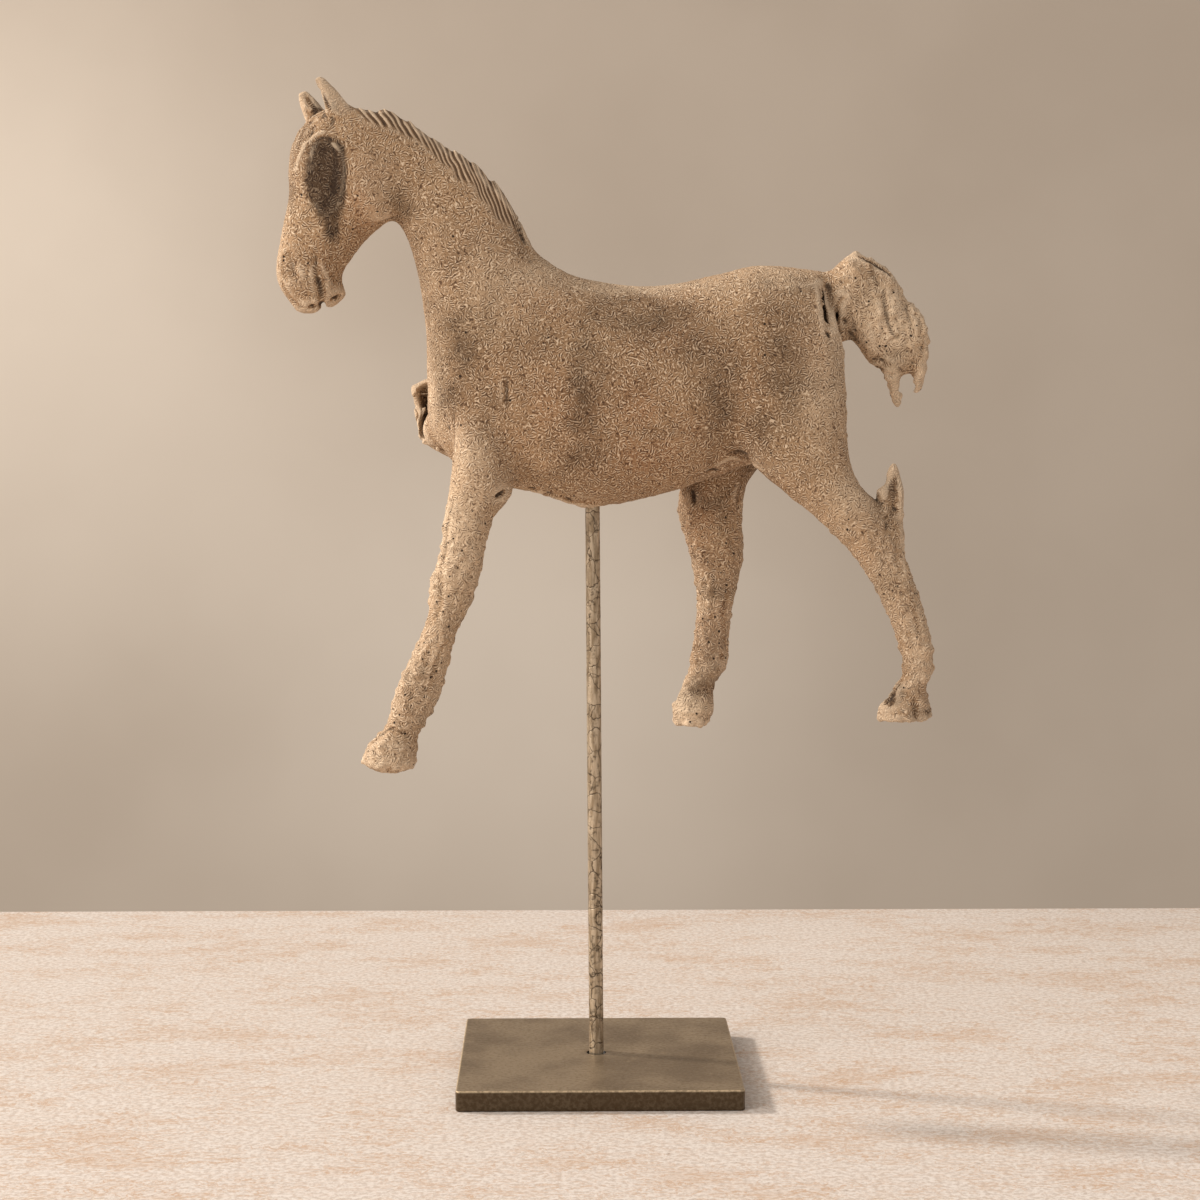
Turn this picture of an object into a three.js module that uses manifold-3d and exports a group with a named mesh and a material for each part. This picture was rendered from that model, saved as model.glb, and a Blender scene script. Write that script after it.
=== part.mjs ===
// Haniwa horse: a broken terracotta horse carried by one steel rod on a square metal foot plate.
// Millimetres, +Z up, origin at the middle of the plate's underside. The horse faces -X and
// -Y is its left side. Three separate pieces: horse, support rod, base plate.

import * as THREE from "three";
import { mergeVertices } from "three/addons/utils/BufferGeometryUtils.js";
import Module from "manifold-3d";

const wasm = await Module();
wasm.setup();

// ---- driving dimensions ----

const plate = { side: 190, thickness: 14, cornerRadius: 3, bevel: 0.8 };
const rod = { diameter: 10, sides: 24, footX: -1.3, topX: -4.3, footZ: 5.3, topZ: 438 };
const rodHole = { diameter: 10.6, mouthDiameter: 13, mouthDepth: 3, plateFloor: 5, overrun: 2 };
const socket = { foot: 370, top: 440 };
const gait = { nearSide: -36, farSide: 37 };
const head = { yaw: THREE.MathUtils.degToRad(12), pivotX: -150 };
const mane = { locks: 27, grooveDepth: 1.3, crestWidth: 7, egg: 0.45 };
const forelocks = { count: 5, gap: 5, radii: [3, 2.2, 10], lean: 0.75 };
const earShape = { halfWidths: [[0, 8.5], [0.4, 7], [0.75, 5], [1, 2.6]], slant: 0.35, thickness: 0.75 };
const tailFurrows = { count: 3, apart: 11, drop: 8, halfLength: 24, lean: -0.25, fanning: -0.12 };
const breastFlakes = { count: 7, apart: 6.5, drop: 1.9, waver: 1.2, sway: 5, radii: [6, 12, 4.5] };
const lump = { height: 0.035, perTurn: 2, perStep: 1.7, perLength: 2.3 };
const lensFacets = { around: 7, heightShare: 0.7 };

// ---- lofting ----

// A station is one cross-section of the clay: the two points of the side outline that it joins
// (x, z each), its half width, the y of its middle, and how much wider the second end is.
function station([ax, az], [bx, bz], halfWidth, middleY = 0, egg = 0) {
  return [ax, az, bx, bz, halfWidth, middleY, egg];
}

function catmullRom(rows, position) {
  const last = rows.length - 1;
  const index = Math.min(Math.floor(position), last - 1);
  const t = position - index;
  const [before, from, to, after] = [-1, 0, 1, 2].map((k) => rows[Math.min(Math.max(index + k, 0), last)]);
  return from.map((value, k) => {
    const rise = to[k] - before[k];
    const fall = after[k] - value;
    const cubic = 2 * (value - to[k]) + rise / 2 + fall / 2;
    const square = 3 * (to[k] - value) - rise - fall / 2;
    return value + t * (rise / 2 + t * (square + t * cubic));
  });
}

function sectionPoint(row, angle, swell) {
  const [ax, az, bx, bz, halfWidth, middleY, egg] = row;
  const along = -Math.cos(angle);
  const across = Math.sin(angle);
  const reach = (along * swell) / 2;
  return [
    (ax + bx) / 2 + (bx - ax) * reach,
    middleY + halfWidth * across * swell * (1 + egg * along),
    (az + bz) / 2 + (bz - az) * reach,
  ];
}

function closeRings(rings) {
  const sides = rings[0].length;
  const last = rings.length - 1;
  const middleOf = (ring) => [0, 1, 2].map((k) => ring.reduce((sum, p) => sum + p[k], 0) / sides);
  const points = [...rings.flat(), middleOf(rings[0]), middleOf(rings[last])];
  const faces = [];
  for (let side = 0; side < sides; side += 1) {
    const next = (side + 1) % sides;
    faces.push(rings.length * sides, next, side);
    faces.push(rings.length * sides + 1, last * sides + side, last * sides + next);
    for (let ring = 0; ring < last; ring += 1) {
      const here = ring * sides;
      const there = here + sides;
      faces.push(here + side, here + next, there + next);
      faces.push(here + side, there + next, there + side);
    }
  }
  const geometry = new THREE.BufferGeometry();
  geometry.setAttribute("position", new THREE.Float32BufferAttribute(points.flat(), 3));
  geometry.setIndex(faces);
  return geometry;
}

// Sections blended along smooth curves; lumps are the maker's finger marks, as a ripple.
function loft(rows, { sides = 12, steps = 2, lumps = 0 } = {}) {
  const rings = [];
  for (let step = 0; step <= (rows.length - 1) * steps; step += 1) {
    const row = catmullRom(rows, step / steps);
    const ring = [];
    for (let side = 0; side < sides; side += 1) {
      const angle = (side / sides) * Math.PI * 2;
      const ripple = Math.sin(lump.perTurn * angle + step * lump.perStep) * Math.sin(step * lump.perLength);
      ring.push(sectionPoint(row, angle, 1 + lumps * ripple));
    }
    rings.push(ring);
  }
  return solid(closeRings(rings));
}

// ---- solids ----

function solid(geometry) {
  geometry.deleteAttribute("normal");
  geometry.deleteAttribute("uv");
  const merged = mergeVertices(geometry, 1e-4);
  const vertProperties = merged.attributes.position.array;
  const made = new wasm.Manifold(
    new wasm.Mesh({ numProp: 3, vertProperties, triVerts: new Uint32Array(merged.index.array) }),
  );
  if (made.volume() > 0) return made;
  const triVerts = new Uint32Array(merged.index.array).reverse();
  return new wasm.Manifold(new wasm.Mesh({ numProp: 3, vertProperties, triVerts }));
}

const join = (parts) => parts.reduce((whole, piece) => whole.add(piece));
const cut = (whole, tools) => tools.reduce((left, tool) => left.subtract(tool), whole);

function lens({ at, radii, turn = [0, 0, 0], around = lensFacets.around }) {
  const geometry = new THREE.SphereGeometry(1, around, Math.round(around * lensFacets.heightShare));
  geometry.scale(...radii);
  geometry.applyMatrix4(new THREE.Matrix4().makeRotationFromEuler(new THREE.Euler(...turn)));
  geometry.translate(...at);
  return solid(geometry);
}

// A round bar between two heights on the rod's slightly leaning axis.
function rodAxisBar(diameter, fromZ, toZ, sides = rod.sides) {
  const xAt = (z) => THREE.MathUtils.mapLinear(z, rod.footZ, rod.topZ, rod.footX, rod.topX);
  const geometry = new THREE.CylinderGeometry(diameter / 2, diameter / 2, toZ - fromZ, sides);
  geometry.rotateX(Math.PI / 2);
  geometry.rotateY(Math.atan2(rod.topX - rod.footX, rod.topZ - rod.footZ));
  geometry.translate(xAt((fromZ + toZ) / 2), 0, (fromZ + toZ) / 2);
  return geometry;
}

// ---- horse: trunk and neck ----

function trunkAndNeck() {
  return loft([
    station([-166, 652], [-150, 592], 17),
    station([-140, 655.5], [-137, 586], 21),
    station([-106, 637], [-127.5, 570], 23.5, 0, 0.1),
    station([-76, 615.5], [-121, 546], 27, 0, 0.1),
    station([-57, 591], [-116.5, 512], 34, 0, 0.08),
    station([-46, 569.5], [-115.5, 476], 41, 0, 0.06),
    station([-34, 558], [-112.5, 445], 45.5, 0, 0.02),
    station([-18, 549], [-86, 411], 48),
    station([0, 544.5], [-46, 403], 50),
    station([26, 541.5], [0, 393.5], 50),
    station([52, 543], [40, 400.5], 48.5),
    station([80, 549], [78, 412], 47),
    station([108, 555], [108, 423], 45),
    station([134, 553.5], [136, 432], 40),
    station([153, 549], [156, 448], 27),
    station([160, 530], [162, 472], 12),
  ], { sides: 20 });
}

// ---- horse: legs ----

function nearForeleg(y = gait.nearSide) {
  return loft([
    station([-88, 515], [-50, 505], 8, y + 15),
    station([-97, 468], [-52, 450], 13, y + 9),
    station([-97, 428], [-57.5, 405.5], 17, y),
    station([-101.5, 394], [-71.5, 384], 15.5, y),
    station([-105.5, 365], [-78.5, 352], 14, y),
    station([-113, 342], [-85, 331], 13.5, y),
    station([-114.5, 320], [-95, 310.5], 12, y),
    station([-126, 294], [-101, 287], 11.5, y),
    station([-136, 271], [-107, 266], 11.5, y),
    station([-143, 247], [-120, 243], 11, y),
    station([-153.5, 235], [-122.5, 231], 14.5, y),
    station([-158.5, 223], [-124, 220], 15, y),
    station([-148, 216.5], [-134, 216], 8, y),
  ], { lumps: lump.height });
}

function nearHindLeg(y = gait.nearSide) {
  return loft([
    station([94, 530], [146, 540], 8, y + 18),
    station([90, 500], [162, 505], 16, y + 10),
    station([92, 462], [164.5, 470], 20, y + 6),
    station([101, 425], [166, 434], 21, y + 4),
    station([124.5, 403], [172.5, 411], 19.5, y + 2),
    station([150.5, 381], [191, 389], 16.5, y),
    station([172.5, 357], [204, 361], 14, y),
    station([188.5, 331], [215.5, 331], 12.5, y),
    station([200.5, 302], [223, 302], 12, y),
    station([204, 284], [223.5, 284], 11, y),
    station([197.5, 272.5], [220, 272], 11.5, y),
    station([188.5, 260], [222, 260], 14.5, y),
    station([187, 250], [220.5, 251], 14.5, y),
  ], { lumps: lump.height });
}

function farHindLeg(y = gait.farSide) {
  return loft([
    station([80, 530], [140, 538], 8, y - 18),
    station([64, 488], [154, 500], 17, y - 10),
    station([58, 444], [148, 456], 20, y - 6),
    station([57.5, 408], [107.5, 413], 18, y - 3),
    station([56.5, 385], [101, 386], 16, y - 1),
    station([64.5, 356], [101.5, 357], 14.5, y),
    station([69, 327], [95.5, 328], 12.5, y),
    station([67.5, 300], [92, 300], 12, y),
    station([65, 282], [91, 281], 12.5, y),
    station([59.5, 265], [82, 265], 11, y),
    station([53, 249], [81.5, 249], 14.5, y),
    station([53, 238], [77.5, 238], 14.5, y),
  ], { lumps: lump.height });
}

// The raised far foreleg is broken off just past the shoulder. The break lays its hollow open
// towards the near side, behind the edge of the chest, and in the middle of its end.
function brokenForeleg(y = gait.farSide - 2) {
  const stump = loft([
    station([-70, 488], [-58, 408], 14, y - 12),
    station([-92, 483], [-84, 417], 18, y - 6),
    station([-113, 481], [-111, 429.5], 18.5, y),
    station([-129, 474.5], [-124, 438.5], 15, y + 2),
  ], { sides: 16, lumps: lump.height });
  return cut(stump, [
    lens({ at: [-114.5, y - 9, 464.5], radii: [12.4, 22, 12.5], around: 12 }),
    lens({ at: [-112.5, y - 9, 450.5], radii: [11.4, 21, 12], around: 12 }),
    lens({ at: [-130, y - 1, 458], radii: [8, 8.5, 12], around: 8 }),
  ]);
}

// A hollow splinter stands at the near hock, left by the broken end of the tail.
function hockSplinter(y = gait.nearSide + 2) {
  return {
    splinter: loft([
      station([180, 386], [204.5, 362], 9, y),
      station([185.4, 397], [203.5, 385], 8, y),
      station([185.6, 404.5], [203.6, 396], 7, y),
      station([191.2, 409], [203.4, 404], 5.5, y),
      station([192.6, 417], [201.4, 412], 4, y),
      station([195.8, 423], [198.6, 422], 1.2, y),
    ], { sides: 10, lumps: lump.height }),
    hollow: lens({ at: [198, y - 9, 396], radii: [3.2, 6, 13], turn: [0, -0.12, 0] }),
  };
}

// ---- horse: tail ----

function tail() {
  const root = loft([
    station([136, 546], [142, 508], 12),
    station([156, 551.5], [163, 504], 17),
    station([172, 563], [172, 505], 17),
    station([186, 559.5], [183, 491], 16),
    station([199, 550.5], [193, 485], 14.5),
    station([208, 533.5], [201, 481], 13),
    station([218, 525], [206, 481], 11.5),
    station([224, 508], [212.5, 482], 8.5),
    station([223, 487], [215, 474], 5),
    station([220.5, 472.5], [216.5, 471], 1.5),
  ], { sides: 14 });
  const drip = loft([
    station([188, 493], [210, 492], 8, -3),
    station([194.5, 480], [205, 479], 6, -3),
    station([197.5, 469.5], [204, 468], 3.5, -3),
    station([198.5, 464.5], [206, 463.5], 3, -3),
    station([201.5, 460], [204.5, 460], 1.2, -3),
  ], { sides: 10 });
  return root.add(drip);
}

// Furrows fan down both faces of the tail, and two slits part it from the rump.
function tailCuts() {
  const cuts = [
    lens({ at: [152, -19, 526], radii: [3, 14, 13.5], turn: [0, -0.16, 0] }),
    lens({ at: [162, -18, 525], radii: [2.2, 10, 10], turn: [0, -0.1, 0] }),
  ];
  const { count, apart, drop, halfLength, lean, fanning } = tailFurrows;
  for (const side of [-1, 1]) {
    for (let furrow = 0; furrow < count; furrow += 1) {
      const at = [177 + furrow * apart, side * (18 - furrow * 1.6), 524 - furrow * drop];
      const radii = [1.8, 2.4, halfLength - furrow * 3];
      cuts.push(lens({ at, radii, turn: [0, lean + furrow * fanning, 0] }));
    }
  }
  return cuts;
}

// ---- horse: head ----

function skull() {
  return loft([
    station([-178, 661], [-140, 656], 13),
    station([-193, 653], [-128, 640], 20.5),
    station([-204.5, 639], [-123, 618], 25),
    station([-208, 620], [-124, 600], 26),
    station([-208, 602], [-139.5, 587], 23, 0, -0.05),
    station([-211.5, 584], [-154, 574.5], 18.5),
    station([-216, 563], [-167, 559], 16.5),
    station([-217, 548], [-173, 547], 16.5),
    station([-212, 536], [-170.5, 535], 14.5),
    station([-202, 525], [-179, 527], 9),
  ], { sides: 16 });
}

function ear({ root, tip, middleY, splay }) {
  const [rootX, rootZ] = root;
  const [tipX, tipZ] = tip;
  const rows = earShape.halfWidths.map(([t, half]) => {
    const x = THREE.MathUtils.lerp(rootX, tipX, t);
    const z = THREE.MathUtils.lerp(rootZ, tipZ, t);
    const rise = half * earShape.slant;
    const thick = half * earShape.thickness;
    return station([x - half, z - rise], [x + half, z + rise], thick, middleY + splay * t);
  });
  const hollow = lens({
    at: [(rootX + tipX) / 2 - 2.2, middleY + splay * 0.5 - 5, (rootZ + tipZ) / 2 + 1],
    radii: [3, 4.5, 8.5],
    turn: [0, Math.atan2(tipX - rootX, tipZ - rootZ), 0],
  });
  return cut(loft(rows, { sides: 10 }), [hollow]);
}

function faceCuts() {
  const cuts = [
    lens({ at: [-184.8, 0, 525.5], radii: [3, 24, 4.6] }),
  ];
  for (const side of [-1, 1]) {
    cuts.push(
      lens({ at: [-189, side * 26, 612], radii: [12, 6, 25], turn: [0, 0.05, side * 0.25] }),
      lens({ at: [-204, side * 17, 556], radii: [4.2, 3.2, 7.5], turn: [0, -0.35, 0] }),
      lens({ at: [-186, side * 18.5, 546], radii: [2, 4, 15], turn: [0, -0.04, 0] }),
    );
  }
  return cuts;
}

function headAndEars() {
  const ears = [
    ear({ root: [-173, 651], tip: [-189.5, 677.5], middleY: -12, splay: -2 }),
    ear({ root: [-184.5, 647.5], tip: [-197, 671], middleY: 12, splay: 3 }),
  ];
  const upperLip = lens({ at: [-195.6, 0, 529.2], radii: [8.6, 11.5, 6.3], around: 8 });
  const straight = cut(join([skull(), upperLip, forelock(), ...ears]), faceCuts());
  const pivot = [head.pivotX, 0, 0];
  const yawDegrees = THREE.MathUtils.radToDeg(head.yaw);
  return straight.translate([-pivot[0], 0, 0]).rotate([0, 0, yawDegrees]).translate(pivot);
}

// ---- horse: mane ----

// The cropped mane is a thin crest; each lock is one rib slanting down towards the withers.
function maneCrest() {
  const line = [
    station([-166, 660], [-158, 646], 1),
    station([-138, 658.5], [-128, 640], 1.15),
    station([-112, 641.5], [-94, 614], 1.3),
    station([-82, 624], [-64, 594], 1.5),
    station([-62, 603], [-50, 572], 1.6),
    station([-47, 571], [-42, 556], 1.5),
  ];
  const rows = [];
  for (let rib = 0; rib <= mane.locks * 2; rib += 1) {
    const row = catmullRom(line, (rib / (mane.locks * 2)) * (line.length - 1));
    const inGroove = rib % 2;
    row[4] = row[4] * mane.crestWidth - inGroove * mane.grooveDepth * row[4];
    row[1] -= inGroove * mane.grooveDepth;
    row[6] = mane.egg;
    rows.push(row);
  }
  return loft(rows, { sides: 8, steps: 1 });
}

function forelock() {
  const locks = [];
  const { count, gap, radii, lean } = forelocks;
  for (let lock = 0; lock < count; lock += 1) {
    const spread = (lock - (count - 1) / 2) * gap;
    locks.push(lens({ at: [-197, spread, 645], radii, turn: [0, lean, 0], around: 6 }));
  }
  return join(locks);
}

// ---- horse: broken clay under the chest ----

function raggedBreast() {
  const flakes = [];
  const { count, apart, drop, waver, sway, radii } = breastFlakes;
  for (let flake = 0; flake < count; flake += 1) {
    const x = -46 + flake * apart;
    const z = 408.5 - flake * drop + Math.sin(flake * 2.4) * waver;
    const y = -16 + Math.sin(flake * 1.9) * sway;
    flakes.push(lens({ at: [x, y, z], radii, turn: [0.25, 0.2, flake] }));
  }
  return join(flakes);
}

function hoofCuts() {
  return [
    lens({ at: [199, gait.nearSide - 13, 267], radii: [6.5, 4, 4.5], turn: [0, -0.7, 0] }),
    lens({ at: [212, gait.nearSide - 14, 254], radii: [1.3, 4, 7] }),
    lens({ at: [58, gait.farSide - 14, 240], radii: [1.2, 5, 6] }),
    lens({ at: [-63, gait.nearSide - 1, 399], radii: [3, 12, 3.5] }),
  ];
}

// ---- materials ----

function terracotta() {
  return new THREE.MeshStandardMaterial({ color: "#b4966f", roughness: 0.95, metalness: 0 });
}

function patinatedSteel(color) {
  return new THREE.MeshStandardMaterial({ color, roughness: 0.45, metalness: 0.9 });
}

// ---- the three pieces ----

function horse() {
  const { splinter, hollow } = hockSplinter();
  const clay = join([
    trunkAndNeck(),
    maneCrest(),
    headAndEars(),
    nearForeleg(),
    nearHindLeg(),
    farHindLeg(),
    brokenForeleg(),
    splinter,
    tail(),
    raggedBreast(),
  ]);
  const rodSocket = solid(rodAxisBar(rodHole.diameter, socket.foot, socket.top));
  return cut(clay, [hollow, rodSocket, ...tailCuts(), ...hoofCuts()]);
}

function basePlate() {
  const half = plate.side / 2 - plate.bevel;
  const round = plate.cornerRadius;
  const outline = new THREE.Shape();
  outline.absarc(half - round, half - round, round, 0, Math.PI / 2);
  outline.absarc(round - half, half - round, round, Math.PI / 2, Math.PI);
  outline.absarc(round - half, round - half, round, Math.PI, Math.PI * 1.5);
  outline.absarc(half - round, round - half, round, Math.PI * 1.5, Math.PI * 2);
  const slab = new THREE.ExtrudeGeometry(outline, {
    depth: plate.thickness - plate.bevel * 2,
    bevelThickness: plate.bevel,
    bevelSize: plate.bevel,
    bevelSegments: 1,
    curveSegments: 3,
  });
  slab.translate(0, 0, plate.bevel);
  const above = plate.thickness + rodHole.overrun;
  const bore = solid(rodAxisBar(rodHole.diameter, rodHole.plateFloor, above));
  const mouth = solid(rodAxisBar(rodHole.mouthDiameter, plate.thickness - rodHole.mouthDepth, above));
  return cut(solid(slab), [bore, mouth]);
}

function supportRod() {
  return solid(rodAxisBar(rod.diameter, rod.footZ, rod.topZ));
}

function named(name, piece, material) {
  const { numProp, vertProperties, triVerts } = piece.getMesh();
  const geometry = new THREE.BufferGeometry();
  geometry.setAttribute("position", new THREE.BufferAttribute(vertProperties, numProp));
  geometry.setIndex(new THREE.BufferAttribute(triVerts, 1));
  geometry.computeVertexNormals();
  const mesh = new THREE.Mesh(geometry, material);
  mesh.name = name;
  return mesh;
}

const model = new THREE.Group();
model.add(named("horse", horse(), terracotta()));
model.add(named("support_rod", supportRod(), patinatedSteel("#6f675a")));
model.add(named("base_plate", basePlate(), patinatedSteel("#4a4338")));

export default model;
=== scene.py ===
import math
import bpy
import numpy as np
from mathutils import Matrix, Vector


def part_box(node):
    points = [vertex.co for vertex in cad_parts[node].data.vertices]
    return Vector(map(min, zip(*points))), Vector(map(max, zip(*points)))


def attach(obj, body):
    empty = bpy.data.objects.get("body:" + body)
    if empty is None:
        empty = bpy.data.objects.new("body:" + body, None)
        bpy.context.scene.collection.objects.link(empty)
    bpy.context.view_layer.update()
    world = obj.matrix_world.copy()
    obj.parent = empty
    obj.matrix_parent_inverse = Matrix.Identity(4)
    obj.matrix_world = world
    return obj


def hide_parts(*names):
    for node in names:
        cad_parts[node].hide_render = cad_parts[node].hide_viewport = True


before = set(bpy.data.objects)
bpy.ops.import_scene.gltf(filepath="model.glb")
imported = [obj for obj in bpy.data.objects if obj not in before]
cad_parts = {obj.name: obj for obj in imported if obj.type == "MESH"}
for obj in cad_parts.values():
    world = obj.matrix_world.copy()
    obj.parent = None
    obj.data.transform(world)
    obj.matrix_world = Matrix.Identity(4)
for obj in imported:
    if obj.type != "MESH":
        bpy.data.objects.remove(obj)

import openvdb
from mathutils import Vector, noise

scene = bpy.context.scene
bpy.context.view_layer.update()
mm = 0.001
nearSide, farSide = -1, 1        # the horse's left faces -Y, its right +Y


# A station is one cross-section of the clay: the two outline points it joins (x, z in mm),
# its half width, the y of its middle, and how much wider its second end is.
def station(a, b, halfWidth, middleY=0.0, egg=0.0):
    return (*a, *b, halfWidth, middleY, egg)


# ---------- horse: the clay, part by part ----------

stance = {"nearLegY": -36, "farLegY": 37, "headYaw": 12, "headPivotX": -150}

trunkAndNeck = [
    station((-166, 652), (-150, 592), 17),
    station((-140, 655.5), (-137, 586), 21),
    station((-106, 637), (-127.5, 570), 23.5, 0, 0.1),
    station((-76, 615.5), (-121, 546), 27, 0, 0.1),
    station((-57, 591), (-116.5, 512), 34, 0, 0.08),
    station((-46, 569.5), (-115.5, 476), 41, 0, 0.06),
    station((-34, 558), (-112.5, 445), 45.5, 0, 0.02),
    station((-18, 549), (-86, 411), 48),
    station((0, 544.5), (-46, 403), 50),
    station((26, 541.5), (0, 393.5), 50),
    station((52, 543), (40, 400.5), 48.5),
    station((80, 549), (78, 412), 47),
    station((108, 555), (108, 423), 45),
    station((134, 553.5), (136, 432), 40),
    station((153, 549), (156, 448), 27),
    station((160, 530), (162, 472), 12),
]


def nearForeleg(y=stance["nearLegY"]):
    return [
        station((-88, 515), (-50, 505), 8, y + 15),
        station((-97, 468), (-52, 450), 13, y + 9),
        station((-97, 428), (-57.5, 405.5), 17, y),
        station((-101.5, 394), (-71.5, 384), 15.5, y),
        station((-105.5, 365), (-78.5, 352), 14, y),
        station((-113, 342), (-85, 331), 13.5, y),
        station((-114.5, 320), (-95, 310.5), 12, y),
        station((-126, 294), (-101, 287), 11.5, y),
        station((-136, 271), (-107, 266), 11.5, y),
        station((-143, 247), (-120, 243), 11, y),
        station((-153.5, 235), (-122.5, 231), 14.5, y),
        station((-158.5, 223), (-124, 220), 15, y),
        station((-148, 216.5), (-134, 216), 8, y),
    ]


def nearHindLeg(y=stance["nearLegY"]):
    return [
        station((94, 530), (146, 540), 8, y + 18),
        station((90, 500), (162, 505), 16, y + 10),
        station((92, 462), (164.5, 470), 20, y + 6),
        station((101, 425), (166, 434), 21, y + 4),
        station((124.5, 403), (172.5, 411), 19.5, y + 2),
        station((150.5, 381), (191, 389), 16.5, y),
        station((172.5, 357), (204, 361), 14, y),
        station((188.5, 331), (215.5, 331), 12.5, y),
        station((200.5, 302), (223, 302), 12, y),
        station((204, 284), (223.5, 284), 11, y),
        station((197.5, 272.5), (220, 272), 11.5, y),
        station((188.5, 260), (222, 260), 14.5, y),
        station((187, 250), (220.5, 251), 14.5, y),
    ]


def farHindLeg(y=stance["farLegY"]):
    return [
        station((80, 530), (140, 538), 8, y - 18),
        station((64, 488), (154, 500), 17, y - 10),
        station((58, 444), (148, 456), 20, y - 6),
        station((57.5, 408), (107.5, 413), 18, y - 3),
        station((56.5, 385), (101, 386), 16, y - 1),
        station((64.5, 356), (101.5, 357), 14.5, y),
        station((69, 327), (95.5, 328), 12.5, y),
        station((67.5, 300), (92, 300), 12, y),
        station((65, 282), (91, 281), 12.5, y),
        station((59.5, 265), (82, 265), 11, y),
        station((53, 249), (81.5, 249), 14.5, y),
        station((53, 238), (77.5, 238), 14.5, y),
    ]


def brokenForeleg(y=stance["farLegY"] - 2):
    return [
        station((-70, 488), (-58, 408), 14, y - 12),
        station((-92, 483), (-84, 417), 18, y - 6),
        station((-113, 481), (-111, 429.5), 18.5, y),
        station((-129, 474.5), (-124, 438.5), 15, y + 2),
    ]


def hockSplinter(y=stance["nearLegY"] + 2):
    return [
        station((180, 386), (204.5, 362), 9, y),
        station((185.4, 397), (203.5, 385), 8, y),
        station((185.6, 404.5), (203.6, 396), 7, y),
        station((191.2, 409), (203.4, 404), 5.5, y),
        station((192.6, 417), (201.4, 412), 4, y),
        station((195.8, 423), (198.6, 422), 1.2, y),
    ]


tailMass = [
    station((136, 546), (142, 508), 12),
    station((156, 551.5), (163, 504), 17),
    station((172, 563), (172, 505), 17),
    station((186, 559.5), (183, 491), 16),
    station((199, 550.5), (193, 485), 14.5),
    station((208, 533.5), (201, 481), 13),
    station((218, 525), (206, 481), 11.5),
    station((224, 508), (212.5, 482), 8.5),
    station((223, 487), (215, 474), 5),
    station((220.5, 472.5), (216.5, 471), 1.5),
]

tailDrip = [
    station((188, 493), (210, 492), 8, -3),
    station((194.5, 480), (205, 479), 6, -3),
    station((197.5, 469.5), (204, 468), 3.5, -3),
    station((198.5, 464.5), (206, 463.5), 3, -3),
    station((201.5, 460), (204.5, 460), 1.2, -3),
]

skull = [
    station((-178, 661), (-140, 656), 13),
    station((-193, 653), (-128, 640), 20.5),
    station((-204.5, 639), (-123, 618), 25),
    station((-208, 620), (-124, 600), 26),
    station((-208, 602), (-139.5, 587), 23, 0, -0.05),
    station((-211.5, 584), (-154, 574.5), 18.5),
    station((-216, 563), (-167, 559), 16.5),
    station((-217, 548), (-173, 547), 16.5),
    station((-212, 536), (-170.5, 535), 14.5),
    station((-202, 525), (-179, 527), 9),
]


def ear(root, tip, middleY, splay):
    rows = []
    for t, half in ((0, 8.5), (0.4, 7), (0.75, 5), (1, 2.6)):
        x = root[0] + (tip[0] - root[0]) * t
        z = root[1] + (tip[1] - root[1]) * t
        rows.append(station((x - half, z - half * 0.35), (x + half, z + half * 0.35),
                            half * 0.75, middleY + splay * t))
    return rows


nearEar = ear((-173, 651), (-189.5, 677.5), -12, -2)
farEar = ear((-184.5, 647.5), (-197, 671), 12, 3)

maneRidge = [
    station((-166, 660), (-158, 646), 7),
    station((-138, 658.5), (-128, 640), 8),
    station((-112, 641.5), (-94, 614), 9.1, 0, 0.45),
    station((-82, 624), (-64, 594), 10.5, 0, 0.45),
    station((-62, 603), (-50, 572), 11.2, 0, 0.45),
    station((-47, 571), (-42, 556), 10.5, 0, 0.45),
]


# ---------- clay as a distance field, so that joins can be smoothed by hand-like fillets ----------

clay = {
    "voxel": 1.0,
    "band": 14,                  # mm of field kept either side of the surface
    "sides": 64,
    "stepsPerStation": 9,
    "triangles": 196000,
}


def catmullRom(rows, position):
    last = len(rows) - 1
    index = min(int(position), last - 1)
    t = position - index
    before, start, end, after = (rows[min(max(index + k, 0), last)] for k in (-1, 0, 1, 2))
    return 0.5 * (2 * start + (end - before) * t
                  + (2 * before - 5 * start + 4 * end - after) * t ** 2
                  + (3 * start - before - 3 * end + after) * t ** 3)


# Quads between neighbouring rings of equal length, and a fan over each end.
def skin(rings):
    sides, last = len(rings[0]), len(rings) - 1
    points = np.concatenate([*rings, rings[0].mean(0)[None], rings[-1].mean(0)[None]])
    side = np.arange(sides)
    after = (side + 1) % sides
    tris = [np.stack([np.full(sides, sides * (last + 1)), after, side], axis=1),
            np.stack([np.full(sides, sides * (last + 1) + 1), last * sides + side, last * sides + after], axis=1)]
    for ring in range(last):
        here, there = ring * sides, (ring + 1) * sides
        tris.append(np.stack([here + side, here + after, there + after], axis=1))
        tris.append(np.stack([here + side, there + after, there + side], axis=1))
    return points, np.concatenate(tris)


def loft(rows):
    rows = np.array(rows, dtype=float)
    angles = np.arange(clay["sides"]) / clay["sides"] * 2 * math.pi
    along, across = -np.cos(angles), np.sin(angles)
    rings = []
    for step in range((len(rows) - 1) * clay["stepsPerStation"] + 1):
        ax, az, bx, bz, halfWidth, middleY, egg = catmullRom(rows, step / clay["stepsPerStation"])
        rings.append(np.stack([
            (ax + bx) / 2 + (bx - ax) / 2 * along,
            middleY + halfWidth * across * (1 + egg * along),
            (az + bz) / 2 + (bz - az) / 2 * along,
        ], axis=1))
    return skin(rings)


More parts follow.
